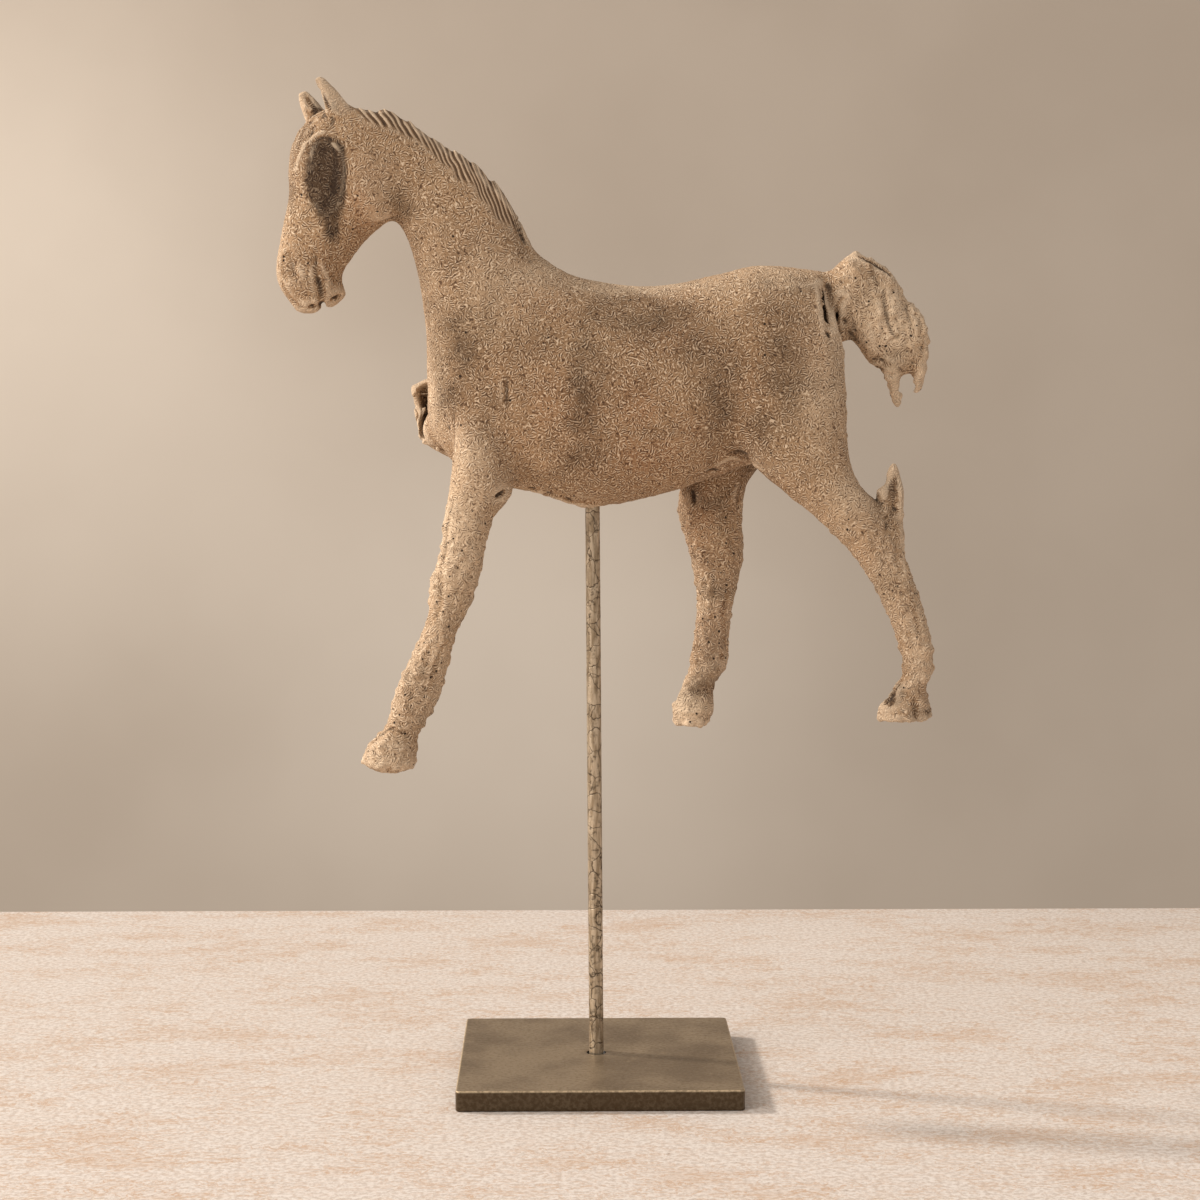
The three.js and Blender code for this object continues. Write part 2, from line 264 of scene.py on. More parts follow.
def turnMatrix(turn):
    (cx, cy, cz), (sx, sy, sz) = np.cos(turn), np.sin(turn)
    aboutX = np.array([[1, 0, 0], [0, cx, -sx], [0, sx, cx]])
    aboutY = np.array([[cy, 0, sy], [0, 1, 0], [-sy, 0, cy]])
    aboutZ = np.array([[cz, -sz, 0], [sz, cz, 0], [0, 0, 1]])
    return aboutX @ aboutY @ aboutZ


def pebble(at, radii, turn=(0, 0, 0)):
    rows = []
    around = np.arange(32) / 16 * math.pi
    for polar in np.linspace(0.06, math.pi - 0.06, 17):
        rows.append(np.stack([math.sin(polar) * np.cos(around), -math.sin(polar) * np.sin(around),
                              np.full(32, math.cos(polar))], axis=1))
    points, tris = skin(rows)
    return points * radii @ turnMatrix(turn).T + at, tris


def headTurned(points, sign=1):
    pivot = np.array([stance["headPivotX"], 0, 0])
    yaw = turnMatrix((0, 0, sign * math.radians(stance["headYaw"])))
    return (points - pivot) @ yaw.T + pivot


def turnHead(shape):
    return headTurned(shape[0]), shape[1]


# The block holds, for every voxel, the distance to the clay's surface: minus inside, plus outside.
def emptyBlock(low, high):
    origin = np.floor(np.array(low) / clay["voxel"]).astype(int)
    size = np.ceil(np.array(high) / clay["voxel"]).astype(int) - origin
    return {"field": np.full(size, clay["band"], dtype=np.float32), "origin": origin}


def fieldOf(block, shape):
    points, tris = shape
    voxels = int(clay["band"] / clay["voxel"])
    grid = openvdb.FloatGrid.createLevelSetFromPolygons(
        points.astype(np.float32), triangles=tris.astype(np.uint32), halfWidth=voxels,
        transform=openvdb.createLinearTransform(voxelSize=clay["voxel"]))
    low, high = (np.array(corner) for corner in grid.evalActiveVoxelBoundingBox())
    field = np.empty(high - low + 1, dtype=np.float32)
    grid.copyToArray(field, ijk=tuple(int(k) for k in low))
    start = low - block["origin"]
    first, stop = np.maximum(start, 0), np.minimum(start + field.shape, block["field"].shape)
    outer = tuple(slice(a, b) for a, b in zip(first, stop))
    inner = tuple(slice(a, b) for a, b in zip(first - start, stop - start))
    return outer, field[inner]


def smoothLow(a, b, reach):
    overlap = np.maximum(reach - np.abs(a - b), 0) / reach
    return np.minimum(a, b) - overlap ** 3 * reach / 6


def addClay(block, shape, fillet):
    place, field = fieldOf(block, shape)
    block["field"][place] = smoothLow(block["field"][place], field, fillet)


def cutClay(block, shape, fillet):
    place, field = fieldOf(block, shape)
    block["field"][place] = -smoothLow(-block["field"][place], field, fillet)


def soften(field, times, step=1):
    for _ in range(times):
        for axis in range(3):
            field = (np.roll(field, step, axis) + 2 * field + np.roll(field, -step, axis)) / 4
    return field


def sampled(block, points, field=None):
    field = block["field"] if field is None else field
    at = np.clip(points / clay["voxel"] - block["origin"], 0, np.array(field.shape) - 1.001)
    base = at.astype(int)
    part = at - base
    total = 0
    for corner in np.ndindex(2, 2, 2):
        weight = np.prod(np.where(corner, part, 1 - part), axis=-1)
        total = total + weight * field[tuple((base + corner).T)]
    return total


# Where a straight line from outside first meets the clay, or None.
def touch(block, start, direction):
    steps = np.arange(0, 110, 0.5)[:, None]
    points = np.array(start, dtype=float) + steps * np.array(direction, dtype=float)
    depths = sampled(block, points)
    inside = np.nonzero(depths < 0)[0]
    if len(inside) == 0 or inside[0] == 0:
        return None
    k = inside[0]
    return points[k - 1] + (points[k] - points[k - 1]) * depths[k - 1] / (depths[k - 1] - depths[k])


# A drawn line is (x, z) pairs laid on the surface as seen from the horse's left.
def drawn(block, outline, gap=2):
    flat = evenly([(x, 0, z) for x, z in outline], gap)
    hits = [touch(block, (x, -75, z), (0, 1, 0)) for x, _, z in flat]
    return np.array([hit for hit in hits if hit is not None])


def evenly(points, gap):
    points = np.array(points, dtype=float)
    if len(points) < 2:
        return points
    run = np.concatenate([[0], np.cumsum(np.linalg.norm(np.diff(points, axis=0), axis=1))])
    at = np.linspace(0, run[-1], max(2, int(run[-1] / gap) + 1))
    return np.stack([np.interp(at, run, points[:, k]) for k in range(3)], axis=1)


def mirrored(points):
    return points * (1, -1, 1)


def mirroredOnHead(points):
    return headTurned(mirrored(headTurned(points, -1)))


# The voxels near a line, and how far each is from it in units of the line's own width there.
def nearLine(block, points, widths):
    reach = widths.max() * 2 + clay["voxel"]
    low = np.floor((points.min(0) - reach) / clay["voxel"]).astype(int) - block["origin"]
    high = np.ceil((points.max(0) + reach) / clay["voxel"]).astype(int) - block["origin"]
    low, high = np.maximum(low, 0), np.minimum(high, block["field"].shape)
    place = tuple(slice(a, b) for a, b in zip(low, high))
    axes = [(np.arange(a, b) + c) * clay["voxel"] for a, b, c in zip(low, high, block["origin"])]
    nearest = np.full([len(axis) for axis in axes], 99.0, dtype=np.float32)
    for (x, y, z), width in zip(points, widths):
        square = ((axes[0] - x) ** 2)[:, None, None] + ((axes[1] - y) ** 2)[None, :, None] + (axes[2] - z) ** 2
        nearest = np.minimum(nearest, np.sqrt(square) / width)
    return place, nearest


def tapered(count, width, ends):
    if count < 3:
        return np.full(count, float(width))
    t = np.linspace(0, 1, count)
    return width * (1 - ends + ends * np.sqrt(np.clip(4 * t * (1 - t), 0.02, 1)))


# A finger or stick pressed along a line; a minus depth raises a welt instead.
def press(block, points, width, depth, ends=0.6):
    if len(points) == 0:
        return
    points = evenly(points, 1)
    place, near = nearLine(block, points, tapered(len(points), width, ends))
    block["field"][place] += depth * np.clip(1 - near ** 2 / 2.2, 0, None) ** 2


# A slit or hole cut in with a tool, its middle sunk below the surface.
def gouge(block, points, radius, sink=0.0, ends=0.5, toward=(0, 1, 0)):
    if len(points) == 0:
        return
    points = evenly(points, 1) + sink * np.array(toward)
    widths = tapered(len(points), radius, ends)
    place, near = nearLine(block, points, widths)
    block["field"][place] = np.maximum(block["field"][place], (1 - near) * radius)


def coil(block, points, radius, fillet=2, ends=0.5):
    points = evenly(points, 1)
    place, near = nearLine(block, points, tapered(len(points), radius, ends))
    block["field"][place] = smoothLow(block["field"][place], (near - 1) * radius, fillet)


def meshOf(block):
    grid = openvdb.FloatGrid(float(clay["band"]))
    grid.transform = openvdb.createLinearTransform(voxelSize=clay["voxel"])
    grid.copyFromArray(block["field"], ijk=tuple(int(k) for k in block["origin"]))
    points, tris, quads = grid.convertToPolygons(isovalue=0, adaptivity=0)
    return points.astype(float), quads[:, ::-1]


# ---------- horse: carving ----------

crest = [(-164, 658), (-144, 657), (-123, 650), (-104, 637), (-93, 631), (-76, 615), (-64, 605), (-57, 594),
         (-50, 574)]
maneCuts = {
    "count": 27, "depth": 1.9, "tuft": 3.2, "tuftDepth": 3.4, "wander": 0.3,
    # how far each cut runs from the crest (x, z), from the poll to the withers
    "run": [(9, -9), (9, -14), (11, -22), (12, -28), (12, -32), (10, -31), (7, -27)],
    "from": (-166, 540), "to": (-34, 672),
}


# Which cut of the mane a point lies on, counted along the crest, how much of the cut is there,
# and how near it is to the crest's edge.
def combed(x, z):
    line = evenly([(x, 0, z) for x, z in crest], 0.3)[:, [0, 2]]
    t = np.linspace(0, 1, len(line))
    runs = np.array(maneCuts["run"], dtype=float)
    toward = np.stack([np.interp(t * (len(runs) - 1), np.arange(len(runs)), runs[:, k]) for k in (0, 1)], axis=1)
    length = np.linalg.norm(toward, axis=1)
    toward /= length[:, None]
    awayX, awayZ = x[:, None] - line[:, 0], z[:, None] - line[:, 1]
    aside = np.abs(awayX * toward[:, 1] - awayZ * toward[:, 0])
    down = (awayX * toward[:, 0] + awayZ * toward[:, 1]) / length
    nearest = np.argmin(aside + 40 * (np.abs(down - 0.4) > 0.85), axis=1)
    each = np.arange(len(x))
    at, down, aside = t[nearest], down[each, nearest], aside[each, nearest]
    drift = np.array([noise.noise(Vector((a / 9, b / 9, 3))) for a, b in zip(x, z)]) * maneCuts["wander"]
    ends = 0.95 + drift
    present = np.clip((ends + 0.12 - down) / 0.2, 0, 1) * np.clip((down + 0.4) / 0.1, 0, 1)
    present *= np.clip(at * 40, 0, 1) * np.clip((1 - at) * 14, 0, 1) * np.clip(2 - aside, 0, 1)
    return at * maneCuts["count"] + drift, present, np.clip(1 - down / 0.3, 0, 1) * present


def carveMane(block):
    (lowX, lowZ), (highX, highZ) = maneCuts["from"], maneCuts["to"]
    xs, zs = np.arange(lowX, highX, clay["voxel"]), np.arange(lowZ, highZ, clay["voxel"])
    gridX, gridZ = np.meshgrid(xs, zs, indexing="ij")
    count, present, onEdge = combed(gridX.ravel(), gridZ.ravel())
    cut = (0.5 - 0.5 * np.cos(2 * math.pi * count)) ** 1.5 * present * maneCuts["depth"]
    # every few locks end together in a tuft that overhangs the next
    cut += (count / maneCuts["tuft"] % 1) ** 2 * onEdge * maneCuts["tuftDepth"]
    start = np.round(np.array([lowX, 0, lowZ]) / clay["voxel"]).astype(int) - block["origin"]
    place = (slice(start[0], start[0] + len(xs)), slice(None), slice(start[2], start[2] + len(zs)))
    block["field"][place] += cut.reshape(gridX.shape)[:, None, :].astype(np.float32)


def bothCheeks(block, outline, width, depth, ends=0.6):
    line = drawn(block, outline)
    if len(line):
        press(block, line, width, depth, ends)
        press(block, mirroredOnHead(line), width, depth, ends)


def carveFace(block, rng):
    # sunken eye and the cheek hollow that runs down from it, steeper behind
    bothCheeks(block, [(-182, 630), (-180, 612), (-180, 594)], 8, 1.9)
    bothCheeks(block, [(-174, 628), (-173.6, 614), (-175.6, 600)], 3.6, 1.2)
    bothCheeks(block, [(-191, 612), (-189, 598)], 6, 0.7)
    # brow, and the lid under it
    bothCheeks(block, [(-201, 616.5), (-198, 626), (-194.2, 633.5), (-189, 638), (-183.6, 640.8), (-178, 641.2)], 1.3, -1.8, 0.2)
    bothCheeks(block, [(-199.3, 634), (-193, 638.6), (-187.4, 642), (-181, 643.6)], 1.1, 1.1)
    bothCheeks(block, [(-189, 633.4), (-185, 637), (-180.4, 637.4), (-175.4, 635)], 1.5, 1.9)
    bothCheeks(block, [(-181, 634.6), (-176, 633.4), (-172.6, 629), (-172.8, 625)], 1.2, -1.3)
    bothCheeks(block, [(-190, 629), (-191.6, 622.6)], 1.2, -0.9)
    # nostril, its rim, and the line that follows the front of the muzzle
    bothCheeks(block, [(-206, 560), (-205, 552), (-202, 547)], 4.4, 1.7)
    bothCheeks(block, [(-205, 562.8), (-209, 561), (-210.8, 555), (-210.4, 549), (-208.4, 545)], 1.4, 3, 0.4)
    bothCheeks(block, [(-212.6, 558), (-213.2, 551), (-211.4, 543)], 1, -0.8)
    bothCheeks(block, [(-213.6, 556), (-212.8, 547), (-209.6, 539), (-205, 531.8), (-199.5, 527.2), (-194, 525.2)], 1, 1.7, 0.3)
    bothCheeks(block, [(-210.6, 546), (-207.4, 539.5), (-203, 533.4), (-198, 529.8)], 1, -0.8, 0.3)
    bothCheeks(block, [(-201, 553), (-198, 548.5), (-195, 546)], 1.2, -1)
    # the corner of the mouth, running up the cheek
    bothCheeks(block, [(-188, 561.5), (-187.6, 554), (-187.2, 546.6)], 1.9, 1.4)
    bothCheeks(block, [(-186.6, 545), (-185, 539), (-184.4, 531)], 2.9, 2.2, 0.3)
    bothCheeks(block, [(-185, 556), (-183, 551), (-180.6, 546), (-179, 541)], 1.1, -1.2)
    bothCheeks(block, [(-190, 553), (-191.4, 548), (-189.8, 543)], 1.3, -1)
    # parted lips, worn through at the front
    gouge(block, [(-185, -26, 528.2), (-185, 24, 528.2)], 2.3, ends=0)
    gouge(block, [(-184.6, -26, 523.8), (-184.6, 24, 523.8)], 3.4, ends=0)
    for side in (1, 0):
        lip, jaw = drawn(block, [(-193.4, 526.6), (-188.6, 527)]), drawn(block, [(-179.4, 531.4), (-172.6, 534)])
        place = mirroredOnHead if side else (lambda points: points)
        gouge(block, place(lip), 1.8, 0.9, toward=(0, 1 - 2 * side, 0))
        gouge(block, place(jaw), 1.7, 0.9, toward=(0, 1 - 2 * side, 0))
    gouge(block, drawn(block, [(-213.4, 553)]), 1, 0.2)
    # forelock combed down over the brow
    for lock in range(9):
        spread = (lock - 4) * 4.4 + rng.uniform(-0.8, 0.8)
        start = headTurned(np.array([[-182 - 0.02 * spread ** 2, spread * 0.8, 662.0]]))[0]
        end = headTurned(np.array([[-212, spread * 1.15, 637.0 + 0.012 * spread ** 2]]))[0]
        hits = [touch(block, point + (-8, 0, 8), (0.7, 0, -0.7)) for point in evenly([start, end], 2)]
        hits = np.array([hit for hit in hits if hit is not None])
        if len(hits) > 1:
            press(block, hits, 1.2, 1.7 * rng.uniform(0.7, 1.1), ends=0.5)
    for x, z, length in ((-190, 650.6, 6.5), (-193.4, 649.4, 7), (-197, 648, 8.5), (-200.6, 645, 11), (-203.4, 642, 8)):
        bothCheeks(block, [(x, z), (x - length * 0.42, z - length)], 1, 2)
    bothCheeks(block, [(-181.4, 654), (-180, 647)], 1, 1)
    bothCheeks(block, [(-177, 654.6), (-175, 648)], 1, 0.9)


def carveEars(block):
    # each ear is a leaf rolled forward: a hollow inside a raised rim, shaded darkest low down; that shade is painted by
    # the stain rows
    press(block, drawn(block, [(-187, 673), (-184, 667), (-181.4, 661.4), (-179, 656.6)]), 3, 3.4, 0.5)
    press(block, drawn(block, [(-189.6, 674), (-187.6, 668), (-184.4, 662), (-182, 658)]), 1, -1.2)
    press(block, drawn(block, [(-184.4, 674), (-180.6, 668), (-177.2, 661.4)]), 1.1, -0.8)
    gouge(block, drawn(block, [(-187.4, 672), (-184.8, 667), (-182, 661.4), (-179.6, 658)]), 2, 0.7, 0.4)
    press(block, drawn(block, [(-198.4, 668.4), (-194, 667.8)]), 1.2, 1.6)
    press(block, drawn(block, [(-195.6, 667), (-192.6, 662), (-190, 657.4)]), 2, 2.8, 0.4)
    gouge(block, drawn(block, [(-195.2, 657.8), (-194.6, 656.4)]), 1.4, 0.4)
    press(block, drawn(block, [(-172, 650), (-164, 646), (-157, 644)]), 1.4, 0.8)


def carveTrunk(block, rng):
    # one stroke of a stick behind the shoulder
    press(block, drawn(block, [(-61, 480), (-61, 459)]), 1.7, 1.3, 0.3)
    press(block, drawn(block, [(-64.8, 479), (-64.8, 461)]), 1.6, -0.6)
    # the seam where the near shoulder laps the chest
    press(block, drawn(block, [(-96.6, 458), (-96.6, 440), (-96.8, 422)]), 1.4, 1.9, 0.3)
    for x, z, radius in ((-100, 446, 1.7), (-107.6, 441.5, 1.3), (-104, 433, 1)):
        gouge(block, drawn(block, [(x, z)]), radius, 0.2)
    # lip of the broken edge under the breast, with torn layers inside it
    for layer in range(8):
        x, z = -60 + layer * 6, 411 - layer * 1.9 + rng.uniform(-1, 1)
        press(block, drawn(block, [(x, z), (x + rng.uniform(5, 9), z - rng.uniform(1, 3))]), 1.1, -1.6 if layer % 2 else 1.6)
    for x, z in ((-56, 407.6), (-45, 406), (-30, 400), (-21, 396.8)):
        gouge(block, drawn(block, [(x, z), (x + 4, z - 0.8)]), 1, 0.7)
    gouge(block, drawn(block, [(-68.4, 400.8), (-66, 402.6), (-63, 404.4)]), 1.8, 1.3)
    gouge(block, drawn(block, [(-16, 402)]), 1.4, 0.4)
    press(block, drawn(block, [(-20, 404), (-12, 400), (-4, 399)]), 1.4, -0.7)
    press(block, drawn(block, [(-30, 412), (-22, 407), (-14, 404)]), 1.3, 0.7)
    # fold where the flank meets the near thigh, and the groin behind it
    press(block, drawn(block, [(78, 421), (90, 426.5), (100, 424), (108, 418.5)]), 2, -1.4)
    press(block, drawn(block, [(84, 429), (93, 430.5), (102, 427.5)]), 1.6, 0.9)
    gouge(block, drawn(block, [(71, 416.6), (76.5, 418.2), (82, 417)]), 1.4, 0.8)
    gouge(block, [(65.2, 21, 403), (66.2, 21.4, 394)], 1.7, 0.6)
    press(block, [(67.5, 20.5, 409), (78, 20, 413)], 2.4, 1.2)


def torn(block, rng):
    # nodules round the lower edges of the hooves
    hooves = {"nearHind": ((188.4, 252), (222, 253), -36), "farHind": ((54.5, 240), (78, 240), 37),
              "nearFore": ((-157, 222), (-125.6, 219.6), -36)}
    for (x1, z1), (x2, z2), middleY in hooves.values():
        for nodule in range(11):
            turn = (nodule + rng.uniform(-0.3, 0.3)) / 11 * 2 * math.pi
            x, z = (x1 + x2) / 2 + (x2 - x1) / 2 * math.cos(turn), (z1 + z2) / 2 + (z2 - z1) / 2 * math.cos(turn)
            size = rng.uniform(1.7, 2.9)
            at = (x, middleY + 13 * math.sin(turn), z + rng.uniform(-0.6, 1.6))
            addClay(block, pebble(at, (size, size, size * rng.uniform(0.7, 1))), 1.5)
    # flakes along the open edge of the breast and under the broken foreleg
    for flake in range(9):
        x, z = -50 + flake * 5.2, 407.6 - flake * 1.55 + rng.uniform(-1, 0.6)
        size = rng.uniform(3.4, 6)
        addClay(block, pebble((x, rng.uniform(-8, 2), z), (size, size * 1.9, 2.2), (0.3, 0.25, flake)), 3)
    for crumb in range(8):
        t = crumb / 7
        at = (-119.5 + 23 * t, 26 + rng.uniform(-4, 4), 436 - 11 * t + rng.uniform(-0.7, 0.7))
        addClay(block, pebble(at, (rng.uniform(1.4, 2.3), 4, rng.uniform(1.3, 2)), (0, 0.4, crumb)), 1)
    for at in ((-113.5, 26, 430.2), (-108, 27, 427.4), (-101.5, 24, 425.2)):
        gouge(block, [at], 1.3)


# The break opens the stump's hollow behind the edge of the chest, and in the middle of its end.
def openStump(block):
    y = stance["farLegY"] - 2
    cutClay(block, pebble((-114.5, y - 9, 464.5), (12.4, 22, 12.5)), 1)
    cutClay(block, pebble((-118.6, y - 9, 450), (5.8, 21, 12.5), (0, 0.15, 0)), 1)
    cutClay(block, pebble((-130, y - 1, 458), (8, 8.5, 12)), 1)


def carveStump(block):
    y = stance["farLegY"] - 2
    # the web of clay from the chest to the underside of the stump
    addClay(block, pebble((-105.5, 12, 445), (14.4, 11, 13.4)), 8)
    # torn strands of clay that still cross the break
    coil(block, [(-127, y - 8, 470.5), (-121, y - 11, 469), (-112, y - 11, 469.6)], 1.1)
    coil(block, [(-115, y - 10, 468), (-120, y - 8, 457), (-122.6, y - 7, 447)], 1.1)
    coil(block, [(-125.4, y - 7, 468), (-120, y - 7, 457)], 1)
    press(block, [(-127.4, y - 14, 462), (-126.6, y - 14, 452), (-125, y - 14, 445)], 1.4, 0.9)


def carveForeleg(block):
    press(block, drawn(block, [(-96, 402), (-99, 390), (-101, 380), (-102, 364), (-105.6, 350), (-104.4, 340)]), 1.3, 1.9, 0.2)
    press(block, drawn(block, [(-99.5, 396), (-103.6, 380), (-105, 366)]), 1.2, -1.2)
    press(block, drawn(block, [(-98, 372), (-98.6, 358)]), 1.2, -0.7)
    press(block, drawn(block, [(-79, 370), (-76, 378)]), 1.2, 0.7)
    # the knee, a pressed-on pellet of clay
    press(block, drawn(block, [(-108, 349), (-105.5, 342), (-104.8, 333), (-106.5, 325), (-110.5, 319)]), 1.3, 2.2, 0.3)
    press(block, drawn(block, [(-111.5, 334)]), 2.2, 0.8)
    press(block, drawn(block, [(-101, 306), (-106.5, 295), (-110.5, 281), (-113, 270)]), 1.3, 1.7)
    press(block, drawn(block, [(-103.5, 300), (-108.5, 287)]), 1.2, -0.7)
    press(block, drawn(block, [(-97, 301), (-100, 290), (-103, 277)]), 1.2, 1.3)
    press(block, drawn(block, [(-112, 303), (-118, 290)]), 1.4, 0.8)
    press(block, drawn(block, [(-124, 272), (-129, 256)]), 1.6, 1.4)
    # hoof
    press(block, drawn(block, [(-139, 247), (-146, 241.5), (-152, 236)]), 1.4, 1.6, 0.3)
    press(block, drawn(block, [(-126, 242), (-133, 244.5), (-139, 246)]), 1.4, 1.5, 0.3)
    press(block, drawn(block, [(-145, 231.4), (-134.5, 229.6)]), 1.1, 1.7)
    press(block, drawn(block, [(-139.5, 222), (-140.5, 214)]), 1.8, 1.1)
    for x, z in ((-86.6, 347), (-84.5, 349), (-88, 344), (-89.4, 363.5), (-90.6, 358.7), (-93.6, 354),
                 (-81.2, 367.4), (-114.5, 290), (-113.5, 297.4), (-127.5, 284.4), (-115.2, 273), (-120.7, 281.3),
                 (-155.8, 225.8), (-150, 225), (-124.6, 233), (-109.5, 341), (-131, 250)):
        gouge(block, drawn(block, [(x, z)]), 1.3, 0.3)


def carveHindLegs(block):
    # near leg: a lip along the front edge, combed lines on the cannon
    press(block, drawn(block, [(112, 416), (126, 404), (141, 388), (155, 372), (172, 349), (186, 323), (198, 299)]), 1.2, 0.9, 0.2)
    for line in range(5):
        x, z = 180 + line * 3, 346 + line * 2
        press(block, drawn(block, [(x, z), (x + 9, z - 16)]), 1.1, 0.8)
    press(block, drawn(block, [(200, 349), (196, 366), (193, 380)]), 1.3, 1)
    press(block, drawn(block, [(204, 345), (202, 362), (201.4, 382)]), 1.3, -0.9)
    press(block, drawn(block, [(207, 333), (211, 318), (214, 305)]), 1.3, 0.9)
    for x, z in ((219, 277.4), (218.6, 256), (184, 376.4), (174.4, 376.4), (210.3, 320.2), (206, 309), (190, 357)):
        gouge(block, drawn(block, [(x, z)]), 1.3, 0.3)
    # hollow left in the splinter above the hock
    press(block, drawn(block, [(197, 413), (195.4, 401), (196, 390)]), 4.4, 3)
    press(block, drawn(block, [(200.8, 412), (202, 399), (201.6, 386)]), 1.3, -1.1)
    for x, z, lean in ((195, 408, 5), (191.6, 400.5, -4), (195.6, 396, 4.6), (192.4, 391, -4)):
        floor = drawn(block, [(x, z), (x + lean, z - 3.5)])
        press(block, floor, 0.9, -1.3)
        gouge(block, floor - (0, 0, 2.2), 1.1, 0.7)
    for x, z, radius in ((189, 413.5, 1.6), (183.6, 401, 1.4), (192, 420.4, 1.3)):
        gouge(block, [(x, stance["nearLegY"] - 6, z), (x, stance["nearLegY"] + 10, z)], radius, ends=0)
    press(block, drawn(block, [(191, 384), (189.6, 376)]), 1.8, 1.5)
    # near hoof: a hole through the wall and the split above it
    press(block, drawn(block, [(195, 267), (194, 264.5)]), 4.2, 2.6, 0)
    for sink in (1, 4):
        gouge(block, drawn(block, [(197.4, 269.6), (194, 266), (192, 262.6)]), 2.5, sink, 0.4)
        gouge(block, drawn(block, [(202.4, 278), (199.6, 273), (196.6, 270.6)]), 1.4, sink - 0.4, 0.4)
    press(block, drawn(block, [(210.4, 266), (211.6, 250)]), 1.8, 2.4, 0.2)
    press(block, drawn(block, [(204, 271), (208, 266), (207, 256)]), 1.2, 0.7)
    # far leg: calf, hock and hoof
    press(block, drawn(block, [(99.4, 406), (96.4, 394), (98.6, 383)]), 1.6, 1.3, 0.3)
    press(block, drawn(block, [(96, 408), (93, 394)]), 1.4, -0.8)
    press(block, drawn(block, [(91, 334), (87, 318), (88, 304)]), 1.4, 1)
    press(block, drawn(block, [(70, 372), (73, 352)]), 1.5, 0.9)
    press(block, drawn(block, [(59, 247), (58.2, 238)]), 1.6, 1.5)
    press(block, drawn(block, [(62, 268), (66, 262), (74, 261), (79, 265)]), 1.5, 1)
    for x, z in ((88, 298.3), (86.7, 287), (83.8, 277), (74, 389), (69, 340), (79, 315)):
        gouge(block, drawn(block, [(x, z)]), 1.3, 0.3)


def carveTail(block):
    # slits that part the tail from the rump
    press(block, drawn(block, [(153.6, 541), (154.6, 530), (155, 516)]), 4.8, 2.2, 0.3)
    for sink in (0.4, 3, 6):
        gouge(block, drawn(block, [(148, 540), (149.4, 534), (149, 529), (150.8, 523.6), (150.6, 519), (152.2, 512.6)]),
              1.7, sink, 0.3)
    gouge(block, drawn(block, [(150.2, 526), (151.4, 517)]), 2.2, 1.4)
    gouge(block, drawn(block, [(150.8, 509.8), (153.4, 505.6)]), 1.5, 1)
    press(block, drawn(block, [(145.4, 540), (145.6, 528), (147, 516), (148, 507)]), 1.4, -0.8, 0.3)
    press(block, drawn(block, [(157.4, 529), (157, 521), (157.4, 511)]), 1, -1.1, 0.3)
    for sink in (0.3, 2.6, 5):
        gouge(block, drawn(block, [(164.4, 533), (162, 531.6), (160.4, 526), (160, 516), (160.6, 511)]), 1.7, sink, 0.4)
    gouge(block, drawn(block, [(160, 513.4), (160.4, 509.8), (163.6, 510.2)]), 1.4, 1)
    gouge(block, drawn(block, [(165, 518.4), (166, 517)]), 1.6, 0.8)
    press(block, drawn(block, [(158.4, 535.6), (161, 537.4), (164.4, 535.4), (168, 532.6)]), 1.2, -1.5)
    for x, z in ((162.6, 543.4), (164.6, 543), (167.4, 542.6), (208.7, 528.7), (214.6, 522.6), (202, 507), (193, 498.6),
                 (197.3, 497.5), (209.2, 497.8), (218.6, 500), (212.4, 489.4), (197.6, 481), (196.3, 488.2), (188, 534)):
        gouge(block, drawn(block, [(x, z)]), 1.3, 0.3)
    # hanging folds, and the torn strip along the top
    folds = [
        ([(183, 551), (187.4, 545), (191, 535), (193, 525), (195, 515), (200, 505)], 2.4, 1.1),
        ([(203.6, 534), (209, 523), (212, 511)], 2.2, 0.9),
        ([(174.6, 541), (176.4, 528), (178, 514)], 3.4, 0.6),
        ([(167.6, 527), (171, 516), (176.6, 506)], 2.8, 0.6),
        ([(205, 517), (207, 504), (206, 494)], 2.6, 0.7),
        ([(215.6, 515), (218, 503), (217.6, 492)], 1.8, 0.6),
        ([(188, 546), (190.6, 532)], 1.2, -1),
        ([(187.6, 532), (188.4, 518), (189, 508)], 1.6, -1.2),
        ([(193.6, 541), (197, 531), (198.6, 521)], 1.3, -1),
        ([(199.4, 542), (201.6, 528), (203, 515)], 1.5, -0.8),
        ([(209.6, 529), (213.4, 518), (215, 508)], 1.4, -0.9),
        ([(181, 517), (184, 508), (186, 500)], 1.5, -0.8),
    ]
    for outline, width, depth in folds:
        line = drawn(block, outline)
        press(block, line, width, depth)
        press(block, mirrored(line), width, depth)
    press(block, drawn(block, [(168, 557.6), (174, 559), (182, 555.4), (190, 550.8), (200, 546)]), 1.3, -1.4, 0.3)
    strip = [touch(block, (x, -6, 580), (0, 0, -1)) for x in (176, 182, 188, 194, 198)]
    gouge(block, np.array([hit for hit in strip if hit is not None]), 1.9, 0.3, 0.4, toward=(0, 0.5, -1))
    # the frayed underside, and the hooked end
    press(block, drawn(block, [(166.6, 513), (172.6, 506.8), (178.4, 500.6), (181.4, 494)]), 1.4, 1.3, 0.3)
    press(block, drawn(block, [(183.6, 491.8), (188, 492.6), (192, 491.4), (193.8, 488)]), 1.5, 2.6, 0.3)
    press(block, drawn(block, [(187.4, 488), (192, 485)]), 2.6, 1.5)
    coil(block, [(219, -1, 476), (217.4, -1, 471.6), (213.6, -1, 470.4)], 1.7)


